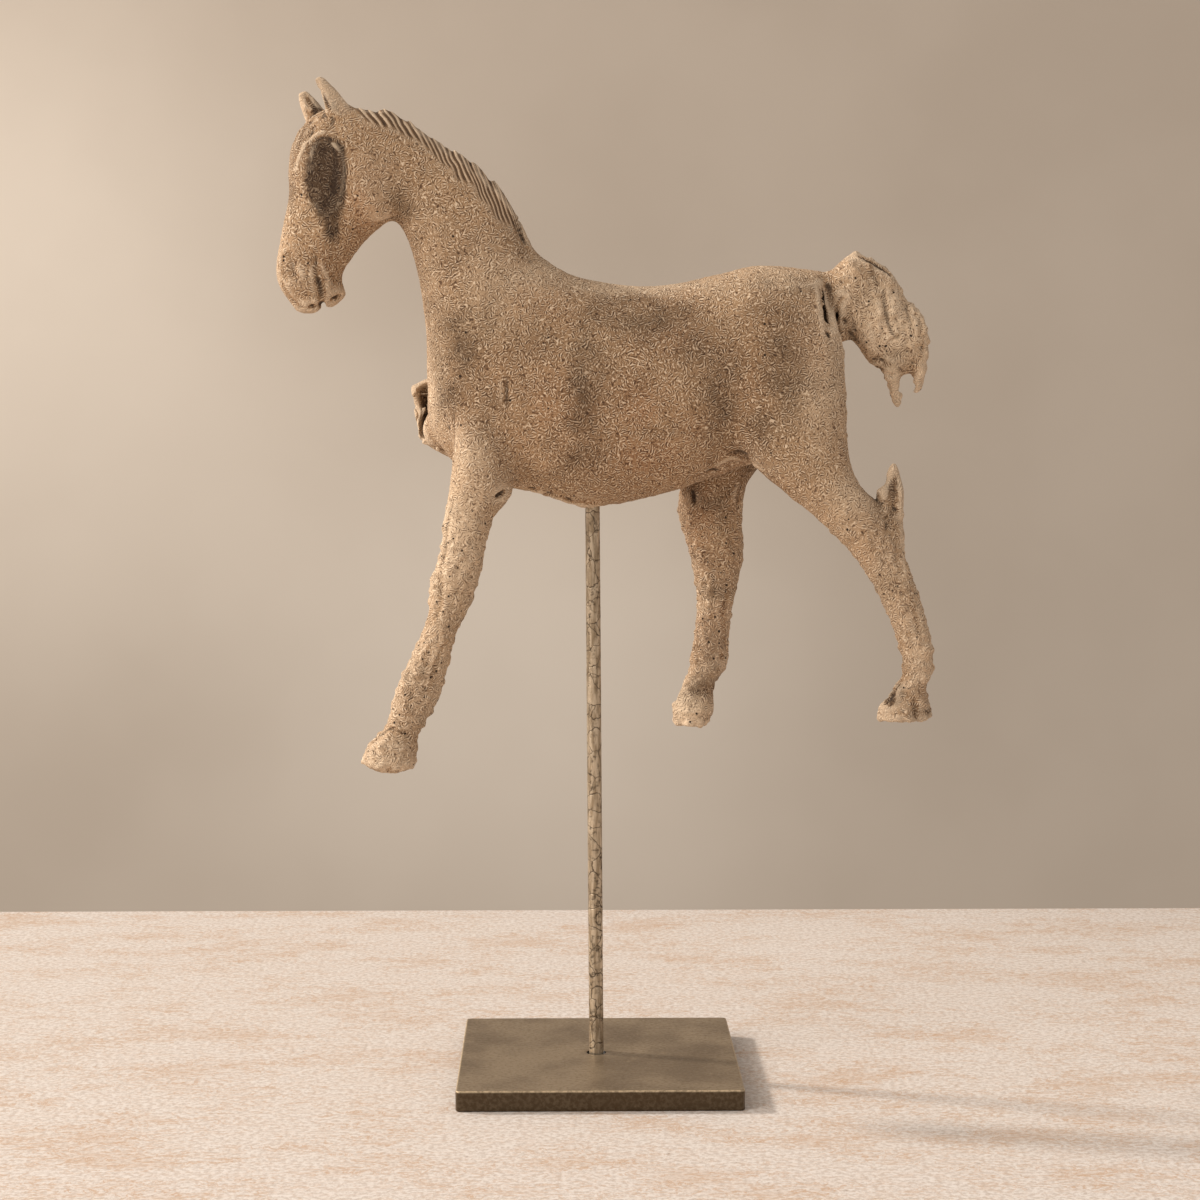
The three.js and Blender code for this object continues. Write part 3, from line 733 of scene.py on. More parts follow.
def modelHorse():
    rng = np.random.default_rng(11)
    low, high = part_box("horse")
    margin = 14
    block = emptyBlock([k / mm - margin for k in low], [k / mm + margin for k in high])
    addClay(block, loft(brokenForeleg()), 2)
    openStump(block)
    addClay(block, loft(trunkAndNeck), 5)
    addClay(block, loft(nearForeleg()), 14)
    addClay(block, loft(nearHindLeg()), 13)
    addClay(block, loft(farHindLeg()), 13)
    addClay(block, turnHead(loft(skull)), 13)
    for side in (nearSide, farSide):
        addClay(block, turnHead(pebble((-152, side * 17, 606), (19, 9, 22))), 10)
    addClay(block, turnHead(pebble((-195.6, 0, 529.2), (8.6, 11.5, 6.3))), 8)
    addClay(block, turnHead(loft(nearEar)), 4)
    addClay(block, turnHead(loft(farEar)), 4)
    addClay(block, loft(maneRidge), 5)
    addClay(block, loft(tailMass), 6)
    addClay(block, loft(tailDrip), 5)
    addClay(block, pebble((203.6, -3, 467), (2.6, 2.6, 2.4)), 2)
    addClay(block, loft(hockSplinter()), 6)
    print("horse: clay joined")
    torn(block, rng)
    carveStump(block)
    gouge(block, [(-3.9, 0, 370), (-4.3, 0, 434)], 5.3, ends=0)
    carveMane(block)
    carveFace(block, rng)
    carveEars(block)
    carveTrunk(block, rng)
    carveForeleg(block)
    carveHindLegs(block)
    carveTail(block)
    block["field"] = soften(block["field"], 1)
    print("horse: carved")
    return block


# Uneven hand-pressed surface: slow waves everywhere, lumps on the thin parts.
lumps = {"slow": 26, "slowHeight": 0.5, "fine": 7, "legHeight": 1.3, "bodyHeight": 0.25, "grit": 3.2, "gritHeight": 0.5}


# 1 on the legs and the tail, 0 on the body.
def thinParts(points):
    x, z = points[:, 0], points[:, 2]
    return np.clip(np.clip((408 - z) / 40, 0, 1) + np.clip((x - 160) / 12, 0, 1) * (z > 440), 0, 1)


def handPressed(block, points):
    step = 0.6
    normals = np.stack([sampled(block, points + step * axis) - sampled(block, points - step * axis)
                        for axis in np.eye(3)], axis=1)
    normals /= np.linalg.norm(normals, axis=1, keepdims=True) + 1e-6
    thin = thinParts(points)
    wave = np.array([noise.noise(Vector(p)) for p in points / lumps["slow"]])
    fine = np.array([noise.noise(Vector(p)) for p in points / lumps["fine"] + 17])
    # pellets with creases between them
    pellets = np.abs(fine) * 2.2 - 0.5
    grit = np.array([noise.noise(Vector(p)) for p in points / lumps["grit"] + 41])
    height = (wave * lumps["slowHeight"]
              + fine * lumps["bodyHeight"] + (pellets * 0.7 + fine * 0.5) * lumps["legHeight"] * thin
              + grit * lumps["gritHeight"] * (0.6 + thin))
    return points + normals * height[:, None]


def meshObject(name, points, faces):
    mesh = bpy.data.meshes.new(name)
    mesh.vertices.add(len(points))
    mesh.vertices.foreach_set("co", (points * mm).astype(np.float32).ravel())
    mesh.loops.add(faces.size)
    mesh.loops.foreach_set("vertex_index", faces.astype(np.int32).ravel())
    mesh.polygons.add(len(faces))
    mesh.polygons.foreach_set("loop_start", np.arange(len(faces), dtype=np.int32) * faces.shape[1])
    mesh.update(calc_edges=True)
    mesh.shade_smooth()
    piece = bpy.data.objects.new(name, mesh)
    scene.collection.objects.link(piece)
    return piece


def thinned(piece, triangles):
    piece.data.calc_loop_triangles()
    thin = piece.modifiers.new("thin", "DECIMATE")
    thin.ratio = min(1, triangles / len(piece.data.loop_triangles))
    mesh = bpy.data.meshes.new_from_object(piece.evaluated_get(bpy.context.evaluated_depsgraph_get()))
    piece.modifiers.clear()
    piece.data = mesh
    mesh.shade_smooth()


# Soft patches, each (x, y, z, reach along x, reach along z, strength), on the horse in mm.
patches = {
    # stain rows: stains, and painted shade in hollows, holes, slits and folds
    "stainAndShade": [
        # muzzle and the hollows of the ears: painted shade in the nostril, the corner of the mouth, the ear hollows and
        # in the shadow of the brow
        (-205, -22, 553, 5, 8, 0.5), (-186, -22, 538, 3, 8, 0.35),
        (-182.6, -14, 669, 3.6, 7, 0.9), (-187, -14, 671, 3.2, 8, 1.7), (-207, -20, 604, 6, 14, 0.9), (-181, -14, 663, 4, 7, 1.4), (-176.6, -14, 657.4, 2.6, 3.4, 1.4),
        (-190, 12, 661, 4, 7, 1.7), (-195, 12, 667, 3.4, 4, 1.0), (-204, -12, 628, 9, 22, 0.6),
        # throat, neck and shoulder
        (-129, -18, 592, 7, 12, 0.75), (-124, -20, 572, 10, 16, 0.4), (-98, -36, 560, 18, 26, 0.4),
        (-92, -42, 500, 16, 32, 0.9), (-100, -35, 468, 10, 24, 0.7), (-74, -44, 522, 15, 28, 0.5),
        (-122, -20, 545, 10, 30, 0.3), (72, 22, 268, 10, 16, 0.4), (78, 24, 292, 14, 30, 0.6),
        (120, -25, 540, 34, 8, 0.3), (-200, -20, 540, 14, 14, 0.3), (0, -20, 542, 60, 5, 0.15),
        # barrel, from the elbow to the flank, in broad soft streaks
        (-10, -48, 468, 14, 48, 0.9), (-8, -44, 430, 18, 28, 0.6), (-42, -45, 502, 22, 20, 0.5),
        (34, -35, 516, 32, 16, 0.72), (4, -32, 522, 28, 13, 0.6), (78, -45, 468, 16, 40, 0.75),
        (64, -44, 500, 22, 26, 0.6), (122, -46, 482, 17, 44, 0.75), (108, -47, 448, 18, 26, 0.65),
        (40, -46, 440, 26, 12, 0.25), (-20, -30, 412, 26, 10, 0.25), (-72, -42, 450, 12, 24, 0.35),
        (-50, -45, 470, 9, 34, 0.3),
        # painted shade in the hollow of the hock splinter, the hooves, the slits of the tail, under the folds and in
        # the groin
        (195, -42, 404, 10, 15, 0.9), (196, -42, 389, 8, 12, 0.6), (195, -46, 266, 5, 5, 1.3),
        (199, -46, 272, 4, 5, 1.0), (211, -48, 256, 3, 7, 0.7), (222, -40, 256, 3, 6, 0.7),
        (155, -14, 529, 5, 15, 0.5), (160, -16, 540, 6, 6, 0.5), (166, -16, 518, 5, 8, 0.5),
        (198, -10, 493, 9, 6, 0.7), (172, -14, 506, 7, 6, 0.4),
        (180, -8, 530, 12, 12, 0.15), (200, -8, 490, 12, 9, 0.4), (95, 20, 418, 24, 8, 0.45),
        (67, 22, 402, 6, 12, 0.7), (188, -46, 345, 8, 20, 0.4),
        # inside the broken foreleg
        (-116, 44, 465, 9, 10, 1.5), (-117, 44, 451, 6, 10, 1.5), (-121, 46, 460, 4, 13, 1.4),
        (-88, -48, 352, 7, 18, 0.15), (-117, -46, 286, 7, 18, 0.3), (-98, -46, 322, 8, 10, 0.25),
        (86, 22, 318, 5, 26, 0.25), (210, -44, 300, 5, 18, 0.25),
    ],
    # pale rows: paler clay, and painted light along the lit top of the back, the front edges of the chest and neck, the
    # back of the haunch and the near foreleg
    "pale": [
        (-95, -45, 375, 30, 50, 0.9), (-125, -45, 280, 30, 50, 0.35), (-142, -45, 230, 20, 16, 0.7),
        (-112, -25, 470, 8, 60, 0.7), (-112, -20, 540, 12, 50, 0.3), (-150, -26, 605, 14, 22, 0.5), (-85, -48, 425, 16, 24, 0.6), (150, -25, 470, 16, 50, 1.0),
        (168, -40, 400, 20, 24, 0.8), (192, -45, 350, 16, 40, 0.5), (215, -42, 300, 10, 40, 0.5),
        (195, -10, 515, 30, 34, 1.3), (146, -38, 464, 14, 40, 0.6), (25, -18, 541, 60, 6, 0.7), (-30, -22, 553, 20, 8, 0.6), (-70, -40, 545, 24, 30, 0.4), (120, -20, 545, 30, 12, 0.5),
        (80, 20, 330, 20, 60, 0.15), (60, 26, 250, 16, 20, 0.7), (-45, -30, 545, 26, 12, 0.6),
    ],
    "pitted": [(-206, -20, 600, 12, 40, 0.8), (-200, -20, 560, 16, 16, 0.7), (-100, -36, 440, 14, 50, 0.8)],
    "blush": [
        (30, -42, 428, 26, 16, 1.0), (26, -48, 458, 14, 18, 0.9), (-30, -48, 462, 20, 26, 0.6),
        (-158, -26, 592, 12, 22, 0.9), (-150, -24, 612, 16, 16, 0.6), (60, -46, 445, 12, 14, 0.5),
        (-50, -47, 440, 16, 18, 0.5), (50, -40, 505, 22, 10, 0.5), (140, -40, 500, 14, 20, 0.4),
        (-40, -45, 530, 20, 12, 0.5), (100, -44, 470, 10, 14, 0.3),
    ],
}


def patchwork(points, rows, seed):
    strength = np.zeros(len(points))
    drift = np.array([noise.noise_vector(Vector(p)) for p in points / 18 + seed])
    moved = points + drift * 5
    for x, y, z, reachX, reachZ, amount in rows:
        fall = ((moved[:, 0] - x) / reachX) ** 2 + ((moved[:, 2] - z) / reachZ) ** 2
        facing = np.clip(1 - ((moved[:, 1] - y) / 34) ** 2, 0, 1)
        strength = np.maximum(strength, amount * np.exp(-fall) * facing)
    return strength


# The eye and the soot below it: a tapering smear, sharp along its back edge, streaked at its foot; over the eye socket
# the smear is also painted shade.
sootAndSocketShade = {"z": (640, 632, 618, 600, 588, 576, 566), "front": (-192, -199, -202, -202, -194, -190, -187),
        "back": (-178, -172.5, -171.4, -172, -173, -174.6, -176), "strength": (0.2, 1, 1, 1, 0.95, 0.85, 0.1),
        "softFront": 6, "softBack": 2, "streak": 3.4}


def sootAndSocketShadeAt(points):
    x, y, z = headTurned(points, -1).T
    down = -z
    front, back, strength = (np.interp(down, [-k for k in sootAndSocketShade["z"]], sootAndSocketShade[key]) for key in ("front", "back", "strength"))
    streaks = np.array([noise.noise(Vector((a / sootAndSocketShade["streak"], 0, b / 30))) for a, b in zip(x, z)])
    edges = np.clip((x - front) / sootAndSocketShade["softFront"], 0, 1) * np.clip((back - x) / sootAndSocketShade["softBack"], 0, 1)
    foot = np.clip((604 - z) / 26, 0, 1)
    inside = edges * strength * (1 + streaks * 1.6 * foot)
    return np.clip(inside, 0, 1) * np.clip((np.abs(y) - 8) / 8, 0, 1) * np.where(y < 0, 1, 0.45)


# Loose patches for the sides that carry no drawn ones.
def wandering(points, seed, reach, threshold):
    value = np.array([noise.fractal(Vector(p), 1, 2, 3) for p in points / reach + seed])
    return np.clip((value - threshold) * 2.4, 0, 1)


def layAttributes(piece, block):
    mesh = piece.data
    points = np.empty(len(mesh.vertices) * 3, dtype=np.float32)
    mesh.vertices.foreach_get("co", points)
    points = points.reshape(-1, 3).astype(float) / mm
    far = np.clip((points[:, 1] + 4) / 20, 0, 1)
    layers = {
        "stainAndShade": np.maximum(patchwork(points, patches["stainAndShade"], 3), sootAndSocketShadeAt(points) * 1.5)
        + wandering(points, 5, 46, 0.12) * (0.2 + 0.4 * far),
        "pale": patchwork(points, patches["pale"], 21) + wandering(points, 33, 60, 0.0) * 0.5 * far,
        "blush": patchwork(points, patches["blush"], 9) + wandering(points, 71, 52, 0.08) * (0.15 + 0.5 * far),
        # hollow: plus where the surface sinks below its smoothed self, minus where it stands above it; the clay paints
        # shade on the first and a highlight on the second
        "hollow": np.clip(sampled(block, points, block["field"] - soften(block["field"], 3, 2)) * 1.4, -1, 1),
        "pitted": thinParts(points) + patchwork(points, patches["pitted"], 45),
    }
    (lowX, lowZ), (highX, highZ) = maneCuts["from"], maneCuts["to"]
    x, z = points[:, 0], points[:, 2]
    near = np.nonzero((x > lowX) & (x < highX) & (z > lowZ) & (z < highZ))[0]
    layers["cut"], layers["mane"] = np.zeros(len(points)), np.zeros(len(points))
    layers["cut"][near], layers["mane"][near], _ = combed(x[near], z[near])
    for name, values in layers.items():
        layer = mesh.attributes.new(name, "FLOAT", "POINT")
        layer.data.foreach_set("value", values.astype(np.float32))


block = modelHorse()
points, faces = meshOf(block)
horse = meshObject("horse_terracotta", handPressed(block, points), faces)
thinned(horse, clay["triangles"])
layAttributes(horse, block)
print("horse: meshed,", len(horse.data.polygons), "triangles")
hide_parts("horse")
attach(horse, "root")

# ---------- materials ----------

def linear(hexColour):
    parts = [int(hexColour[k:k + 2], 16) / 255 for k in (1, 3, 5)]
    return (*(c / 12.92 if c <= 0.04045 else ((c + 0.055) / 1.055) ** 2.4 for c in parts), 1)


# Adds one node: its settings by property name, its inputs by socket name or number, as values or links.
def node(tree, kind, settings=None, **inputs):
    made = tree.nodes.new(kind)
    for name, value in (settings or {}).items():
        setattr(made, name, value)
    for name, value in inputs.items():
        socket = made.inputs[int(name[1:])] if name[0] == "_" else made.inputs[name]
        if isinstance(value, bpy.types.NodeSocket):
            tree.links.new(value, socket)
        else:
            socket.default_value = value
    return made.outputs


def newMaterial(name):
    material = bpy.data.materials.new(name)
    material.use_nodes = True
    tree = material.node_tree
    return material, tree, tree.nodes["Principled BSDF"], node(tree, "ShaderNodeTexCoord")["Object"]


def perMetre(millimetres):
    return 1000 / millimetres


def mixColour(tree, factor, a, b, blend="MIX"):
    return node(tree, "ShaderNodeMix", {"data_type": "RGBA", "blend_type": blend},
                _0=factor, _6=a, _7=b)[2]


def remap(tree, value, low, high, outLow=0.0, outHigh=1.0):
    return node(tree, "ShaderNodeMapRange", {"interpolation_type": "SMOOTHSTEP"}, Value=value,
                **{"From Min": low, "From Max": high, "To Min": outLow, "To Max": outHigh})["Result"]


def calculate(tree, operation, a, b=0.0):
    return node(tree, "ShaderNodeMath", {"operation": operation}, _0=a, _1=b)["Value"]


def readLayer(tree, name):
    return node(tree, "ShaderNodeAttribute", {"attribute_name": name})["Fac"]


terracotta = {
    "clay": "#9d7c5b", "pale": "#b08f6c", "paleAndLit": "#dcc3a4", "blushed": "#a87b56", "stainedAndShaded": "#33200b",
    "hollowShade": "#2c1c0e", "shadedParting": "#4d3521", "paintedHighlight": "#e8d2b6", "paintedGrooveShade": "#6a4a2e",
    "crustSpacing": 1.52, "crustBump": 0.85, "crustCurl": 4.5, "crustTurn": (0.44, 0.5, 0.5), "cloud": 55, "mottle": 14,
    "pinholeSpacing": 4.2, "pinhole": 0.85,
    "roughness": 0.93, "ior": 1.5,
}


def firedClay():
    # matt, worm-tracked crust: ridges painted pale as highlight over grooves painted darker as shade, smoky stains
    # mixed with painted shade in recesses, painted highlights on the mane's locks and on edges, and pinholes painted
    # dark as shade
    t = terracotta
    material, tree, shader, place = newMaterial("fired_haniwa_clay")
    stainAndShade, pale, blush, hollow = (readLayer(tree, name) for name in ("stainAndShade", "pale", "blush", "hollow"))
    cut, mane, pitted = (readLayer(tree, name) for name in ("cut", "mane", "pitted"))
    cloud = node(tree, "ShaderNodeTexNoise", Vector=place, Scale=perMetre(t["cloud"]), Detail=3.0)["Fac"]
    mottle = node(tree, "ShaderNodeTexNoise", Vector=place, Scale=perMetre(t["mottle"]), Detail=4.0)["Fac"]
    swirl = node(tree, "ShaderNodeTexNoise", Vector=place, Scale=perMetre(t["crustCurl"]), Detail=0.0)["Color"]
    swirl = node(tree, "ShaderNodeVectorMath", {"operation": "SUBTRACT"}, _0=swirl, _1=t["crustTurn"])["Vector"]
    crust = node(tree, "ShaderNodeTexGabor", {"gabor_type": "3D"}, Vector=place, _5=swirl,
                 Scale=perMetre(t["crustSpacing"] * 1.7), Frequency=1.7, Anisotropy=0.8)["Value"]
    fine = node(tree, "ShaderNodeTexNoise", Vector=place, Scale=perMetre(1.5), Detail=3.0, Roughness=0.6)["Fac"]
    colour = mixColour(tree, remap(tree, cloud, 0.35, 0.65), linear(t["clay"]), linear(t["pale"]))
    # paler clay, and painted light where the pale rows lie on lit edges
    colour = mixColour(tree, calculate(tree, "MULTIPLY", pale, 0.8), colour, linear(t["paleAndLit"]))
    colour = mixColour(tree, calculate(tree, "MULTIPLY", blush, 0.5), colour, linear(t["blushed"]))
    colour = mixColour(tree, remap(tree, mottle, 0.3, 0.75, 0.0, 0.16), colour, linear(t["stainedAndShaded"]))
    # the stain layer darkens the clay: smoky stains, and painted shade in ear hollows, nostril, mouth corner, hooves,
    # splinter, tail slits, under folds and in the groin
    smokeAndShade = calculate(tree, "MULTIPLY", stainAndShade, remap(tree, mottle, 0.25, 0.7, 0.75, 1.1))
    colour = mixColour(tree, calculate(tree, "MINIMUM", calculate(tree, "MULTIPLY", smokeAndShade, 0.71), 0.9), colour,
                       linear(t["stainedAndShaded"]))
    plain = calculate(tree, "SUBTRACT", 1.0, calculate(tree, "MULTIPLY", mane, 0.8))
    # the crust: a painted highlight on its ridges and painted shade in its grooves, both left off the mane
    ridgeHighlight = calculate(tree, "MULTIPLY", remap(tree, crust, 0.52, 0.67), plain)
    grooveShade = calculate(tree, "MULTIPLY", remap(tree, crust, 0.48, 0.32), plain)
    # stained and shaded clay dims the painted highlight on the ridges
    cover = remap(tree, stainAndShade, 0.0, 1.3, 0.78, 0.2)
    colour = mixColour(tree, calculate(tree, "MULTIPLY", ridgeHighlight, cover), colour, linear(t["paintedHighlight"]))
    colour = mixColour(tree, calculate(tree, "MULTIPLY", grooveShade, 0.78), colour, linear(t["paintedGrooveShade"]), "MULTIPLY")
    # the mane's cuts: a painted highlight along each lock and painted shade in the partings between them; the partings
    # are also sunk in the bump
    wave = calculate(tree, "COSINE", calculate(tree, "MULTIPLY", cut, 2 * math.pi))
    strandHighlight = calculate(tree, "MULTIPLY", remap(tree, wave, 0.2, 0.95), mane)
    shadedParting = calculate(tree, "MULTIPLY", remap(tree, wave, 0.15, -0.75), mane)
    colour = mixColour(tree, calculate(tree, "MULTIPLY", strandHighlight, 0.5), colour, linear(t["paintedHighlight"]))
    colour = mixColour(tree, calculate(tree, "MULTIPLY", shadedParting, 0.8), colour, linear(t["shadedParting"]))
    # painted shade where the surface sinks, and a painted highlight where it stands out
    colour = mixColour(tree, remap(tree, hollow, 0.12, 1.0, 0.0, 0.85), colour, linear(t["hollowShade"]))
    colour = mixColour(tree, remap(tree, hollow, -0.08, -0.8, 0.0, 0.45), colour, linear(t["paintedHighlight"]))
    # pinholes, painted dark as shade inside them and sunk in the bump
    holes = node(tree, "ShaderNodeTexVoronoi", Vector=place, Scale=perMetre(t["pinholeSpacing"]), Randomness=1.0)
    edge = calculate(tree, "MULTIPLY", holes["Distance"], t["pinholeSpacing"])
    spread = node(tree, "ShaderNodeSeparateColor", Color=holes["Color"])
    chosen = calculate(tree, "LESS_THAN", spread["Red"], remap(tree, pitted, 0.0, 1.0, 0.04, 0.45))
    edge = calculate(tree, "MULTIPLY", edge, remap(tree, spread["Green"], 0.0, 1.0, 0.8, 1.6))
    hole = calculate(tree, "MULTIPLY", remap(tree, edge, t["pinhole"], t["pinhole"] * 0.5), chosen)
    colour = mixColour(tree, hole, colour, linear(t["hollowShade"]))
    relief = calculate(tree, "ADD", calculate(tree, "MULTIPLY", crust, plain), calculate(tree, "MULTIPLY", fine, 0.35))
    relief = calculate(tree, "SUBTRACT", relief, shadedParting)
    relief = calculate(tree, "SUBTRACT", relief, calculate(tree, "MULTIPLY", hole, 1.2))
    bump = node(tree, "ShaderNodeBump", Height=relief, Strength=1.0, Distance=t["crustBump"] * mm)["Normal"]
    tree.links.new(colour, shader.inputs["Base Color"])
    tree.links.new(bump, shader.inputs["Normal"])
    shader.inputs["Roughness"].default_value = t["roughness"]
    shader.inputs["IOR"].default_value = t["ior"]
    return material


horse.data.materials.append(firedClay())

# ---------- support rod ----------

supportRod = {
    "diameter": 10, "foot": (-1.3, 5.3), "top": (-4.3, 438), "sides": 48, "gap": 1.5, "wobble": 0.12,
    "metal": "#9a8870", "dark": "#3f3122", "pale": "#c9b8a0",
    "metallic": 0.75, "roughness": 0.42, "fleck": 1.6, "crackSpacing": 14,
}


def modelRod():
    (footX, footZ), (topX, topZ) = supportRod["foot"], supportRod["top"]
    radius = supportRod["diameter"] / 2
    around = np.arange(supportRod["sides"]) / supportRod["sides"] * 2 * math.pi
    rings = []
    for z in np.arange(footZ, topZ, supportRod["gap"]):
        x = footX + (topX - footX) * (z - footZ) / (topZ - footZ)
        ring = np.stack([np.cos(around), -np.sin(around), np.zeros_like(around)], axis=1)
        dents = np.array([noise.noise(Vector((*p[:2] * 0.8, z / 9))) for p in ring]) - 0.3
        ring *= (radius + supportRod["wobble"] * np.minimum(dents, 0.2))[:, None]
        rings.append(ring + (x, 0, z))
    return skin(rings)


def agedSteel():
    # pale rubbed metal with dark cracked scale
    t = supportRod
    material, tree, shader, place = newMaterial("aged_steel_rod")
    fleck = node(tree, "ShaderNodeTexNoise", Vector=place, Scale=perMetre(t["fleck"] * 2), Detail=5.0, Roughness=0.65)["Fac"]
    streakPlace = node(tree, "ShaderNodeMapping", Vector=place, Scale=(1, 1, 0.16))["Vector"]
    streak = node(tree, "ShaderNodeTexNoise", Vector=streakPlace, Scale=perMetre(2.2), Detail=3.0)["Fac"]
    band = node(tree, "ShaderNodeTexNoise", Vector=place, Scale=perMetre(38), Detail=2.0)["Fac"]
    warped = node(tree, "ShaderNodeVectorMath", {"operation": "MULTIPLY_ADD"}, _0=node(
        tree, "ShaderNodeTexNoise", Vector=place, Scale=perMetre(7), Detail=2.0)["Color"],
        _1=(0.006, 0.006, 0.006), _2=place)["Vector"]
    cells = node(tree, "ShaderNodeTexVoronoi", {"feature": "DISTANCE_TO_EDGE"}, Vector=warped,
                 Scale=perMetre(t["crackSpacing"]))["Distance"]
    crack = remap(tree, cells, 0.035, 0.0)
    colour = mixColour(tree, remap(tree, streak, 0.35, 0.65), linear(t["metal"]), linear(t["pale"]))
    scale = calculate(tree, "MULTIPLY", remap(tree, fleck, 0.5, 0.68), remap(tree, band, 0.3, 0.6, 0.35, 1.0))
    colour = mixColour(tree, calculate(tree, "MULTIPLY", scale, 0.75), colour, linear(t["dark"]))
    colour = mixColour(tree, calculate(tree, "MULTIPLY", crack, 0.85), colour, linear(t["dark"]))
    height = calculate(tree, "SUBTRACT", streak, calculate(tree, "ADD", crack, scale))
    bump = node(tree, "ShaderNodeBump", Height=height, Strength=0.6, Distance=0.25 * mm)["Normal"]
    tree.links.new(colour, shader.inputs["Base Color"])
    tree.links.new(bump, shader.inputs["Normal"])
    tree.links.new(remap(tree, fleck, 0.4, 0.65, t["roughness"] - 0.1, t["roughness"] + 0.25), shader.inputs["Roughness"])
    shader.inputs["Metallic"].default_value = t["metallic"]
    return material


rod = meshObject("rod_aged_steel", *modelRod())
rod.data.materials.append(agedSteel())
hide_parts("support_rod")
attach(rod, "root")
print("rod made")

# ---------- base plate ----------

basePlate = {
    "side": 190, "thickness": 14, "corner": 3, "edge": 1.2, "edgeSteps": 5, "sides": 256,
    "bore": 5.3, "mouth": 6.5, "mouthDepth": 3, "floor": 5, "holeX": -1.35, "wear": 0.14,
    "metal": "#94836c", "dark": "#746450", "rubbed": "#d2bc9a", "gap": "#140e09", "sideShade": "#453520",
    "metallic": 0.5, "roughness": 0.42, "grain": 1.4, "cloud": 45,
}


# A square outline with round corners, walked by angle so its rings line up with the round hole.
def roundedSquare(inset, angles):
    half, corner = basePlate["side"] / 2 - inset, max(basePlate["corner"] - inset, 0.4)
    reach = half / np.maximum(np.abs(np.cos(angles)), np.abs(np.sin(angles)))
    points = np.stack([reach * np.cos(angles), reach * np.sin(angles)], axis=1)
    core = np.clip(points, corner - half, half - corner)
    out = points - core
    length = np.linalg.norm(out, axis=1, keepdims=True)
    return core + out / np.maximum(length, 1e-6) * np.minimum(length, corner)


def modelPlate():
    p = basePlate
    # more points near the corners, where the outline turns
    angles = -np.arange(p["sides"]) / p["sides"] * 2 * math.pi
    angles = angles + 0.225 * np.sin(4 * angles)
    hole = np.stack([np.cos(angles), np.sin(angles)], axis=1)
    rings = []

    def addRing(flat, z):
        rings.append(np.column_stack([flat, np.full(len(flat), z)]))

    addRing(roundedSquare(60, angles), 0)
    turns = np.linspace(0, math.pi / 2, p["edgeSteps"])
    for turn in turns:
        addRing(roundedSquare(p["edge"] * (1 - math.sin(turn)), angles), p["edge"] * (1 - math.cos(turn)))
    for z in (4, 7, 10):
        addRing(roundedSquare(0, angles), z)
    for turn in turns:
        addRing(roundedSquare(p["edge"] * (1 - math.cos(turn)), angles),
                p["thickness"] - p["edge"] * (1 - math.sin(turn)))
    outer = roundedSquare(p["edge"] + 1, angles)
    for blend in (0, 0.05, 0.15, 0.3, 0.5, 0.7, 0.85, 0.95, 1):
        inner = hole * (p["mouth"] + 0.5) + (p["holeX"], 0)
        addRing(outer * (1 - blend) + inner * blend, p["thickness"])
    for radius, z in ((p["mouth"], 13.7), (p["mouth"], 11), (p["bore"], 11), (p["bore"], p["floor"])):
        addRing(hole * radius + (p["holeX"], 0), z)
    points, faces = skin(rings)
    edgeWear = np.array([noise.fractal(Vector(q / 9), 1, 2, 3) for q in points])
    onEdge = (np.abs(points[:, :2]).max(1) > p["side"] / 2 - 1.5) & (points[:, 2] > 0.5)
    points -= np.sign(points) * (1, 1, 0) * (np.clip(edgeWear, 0, 1) * p["wear"] * onEdge)[:, None]
    return points, faces


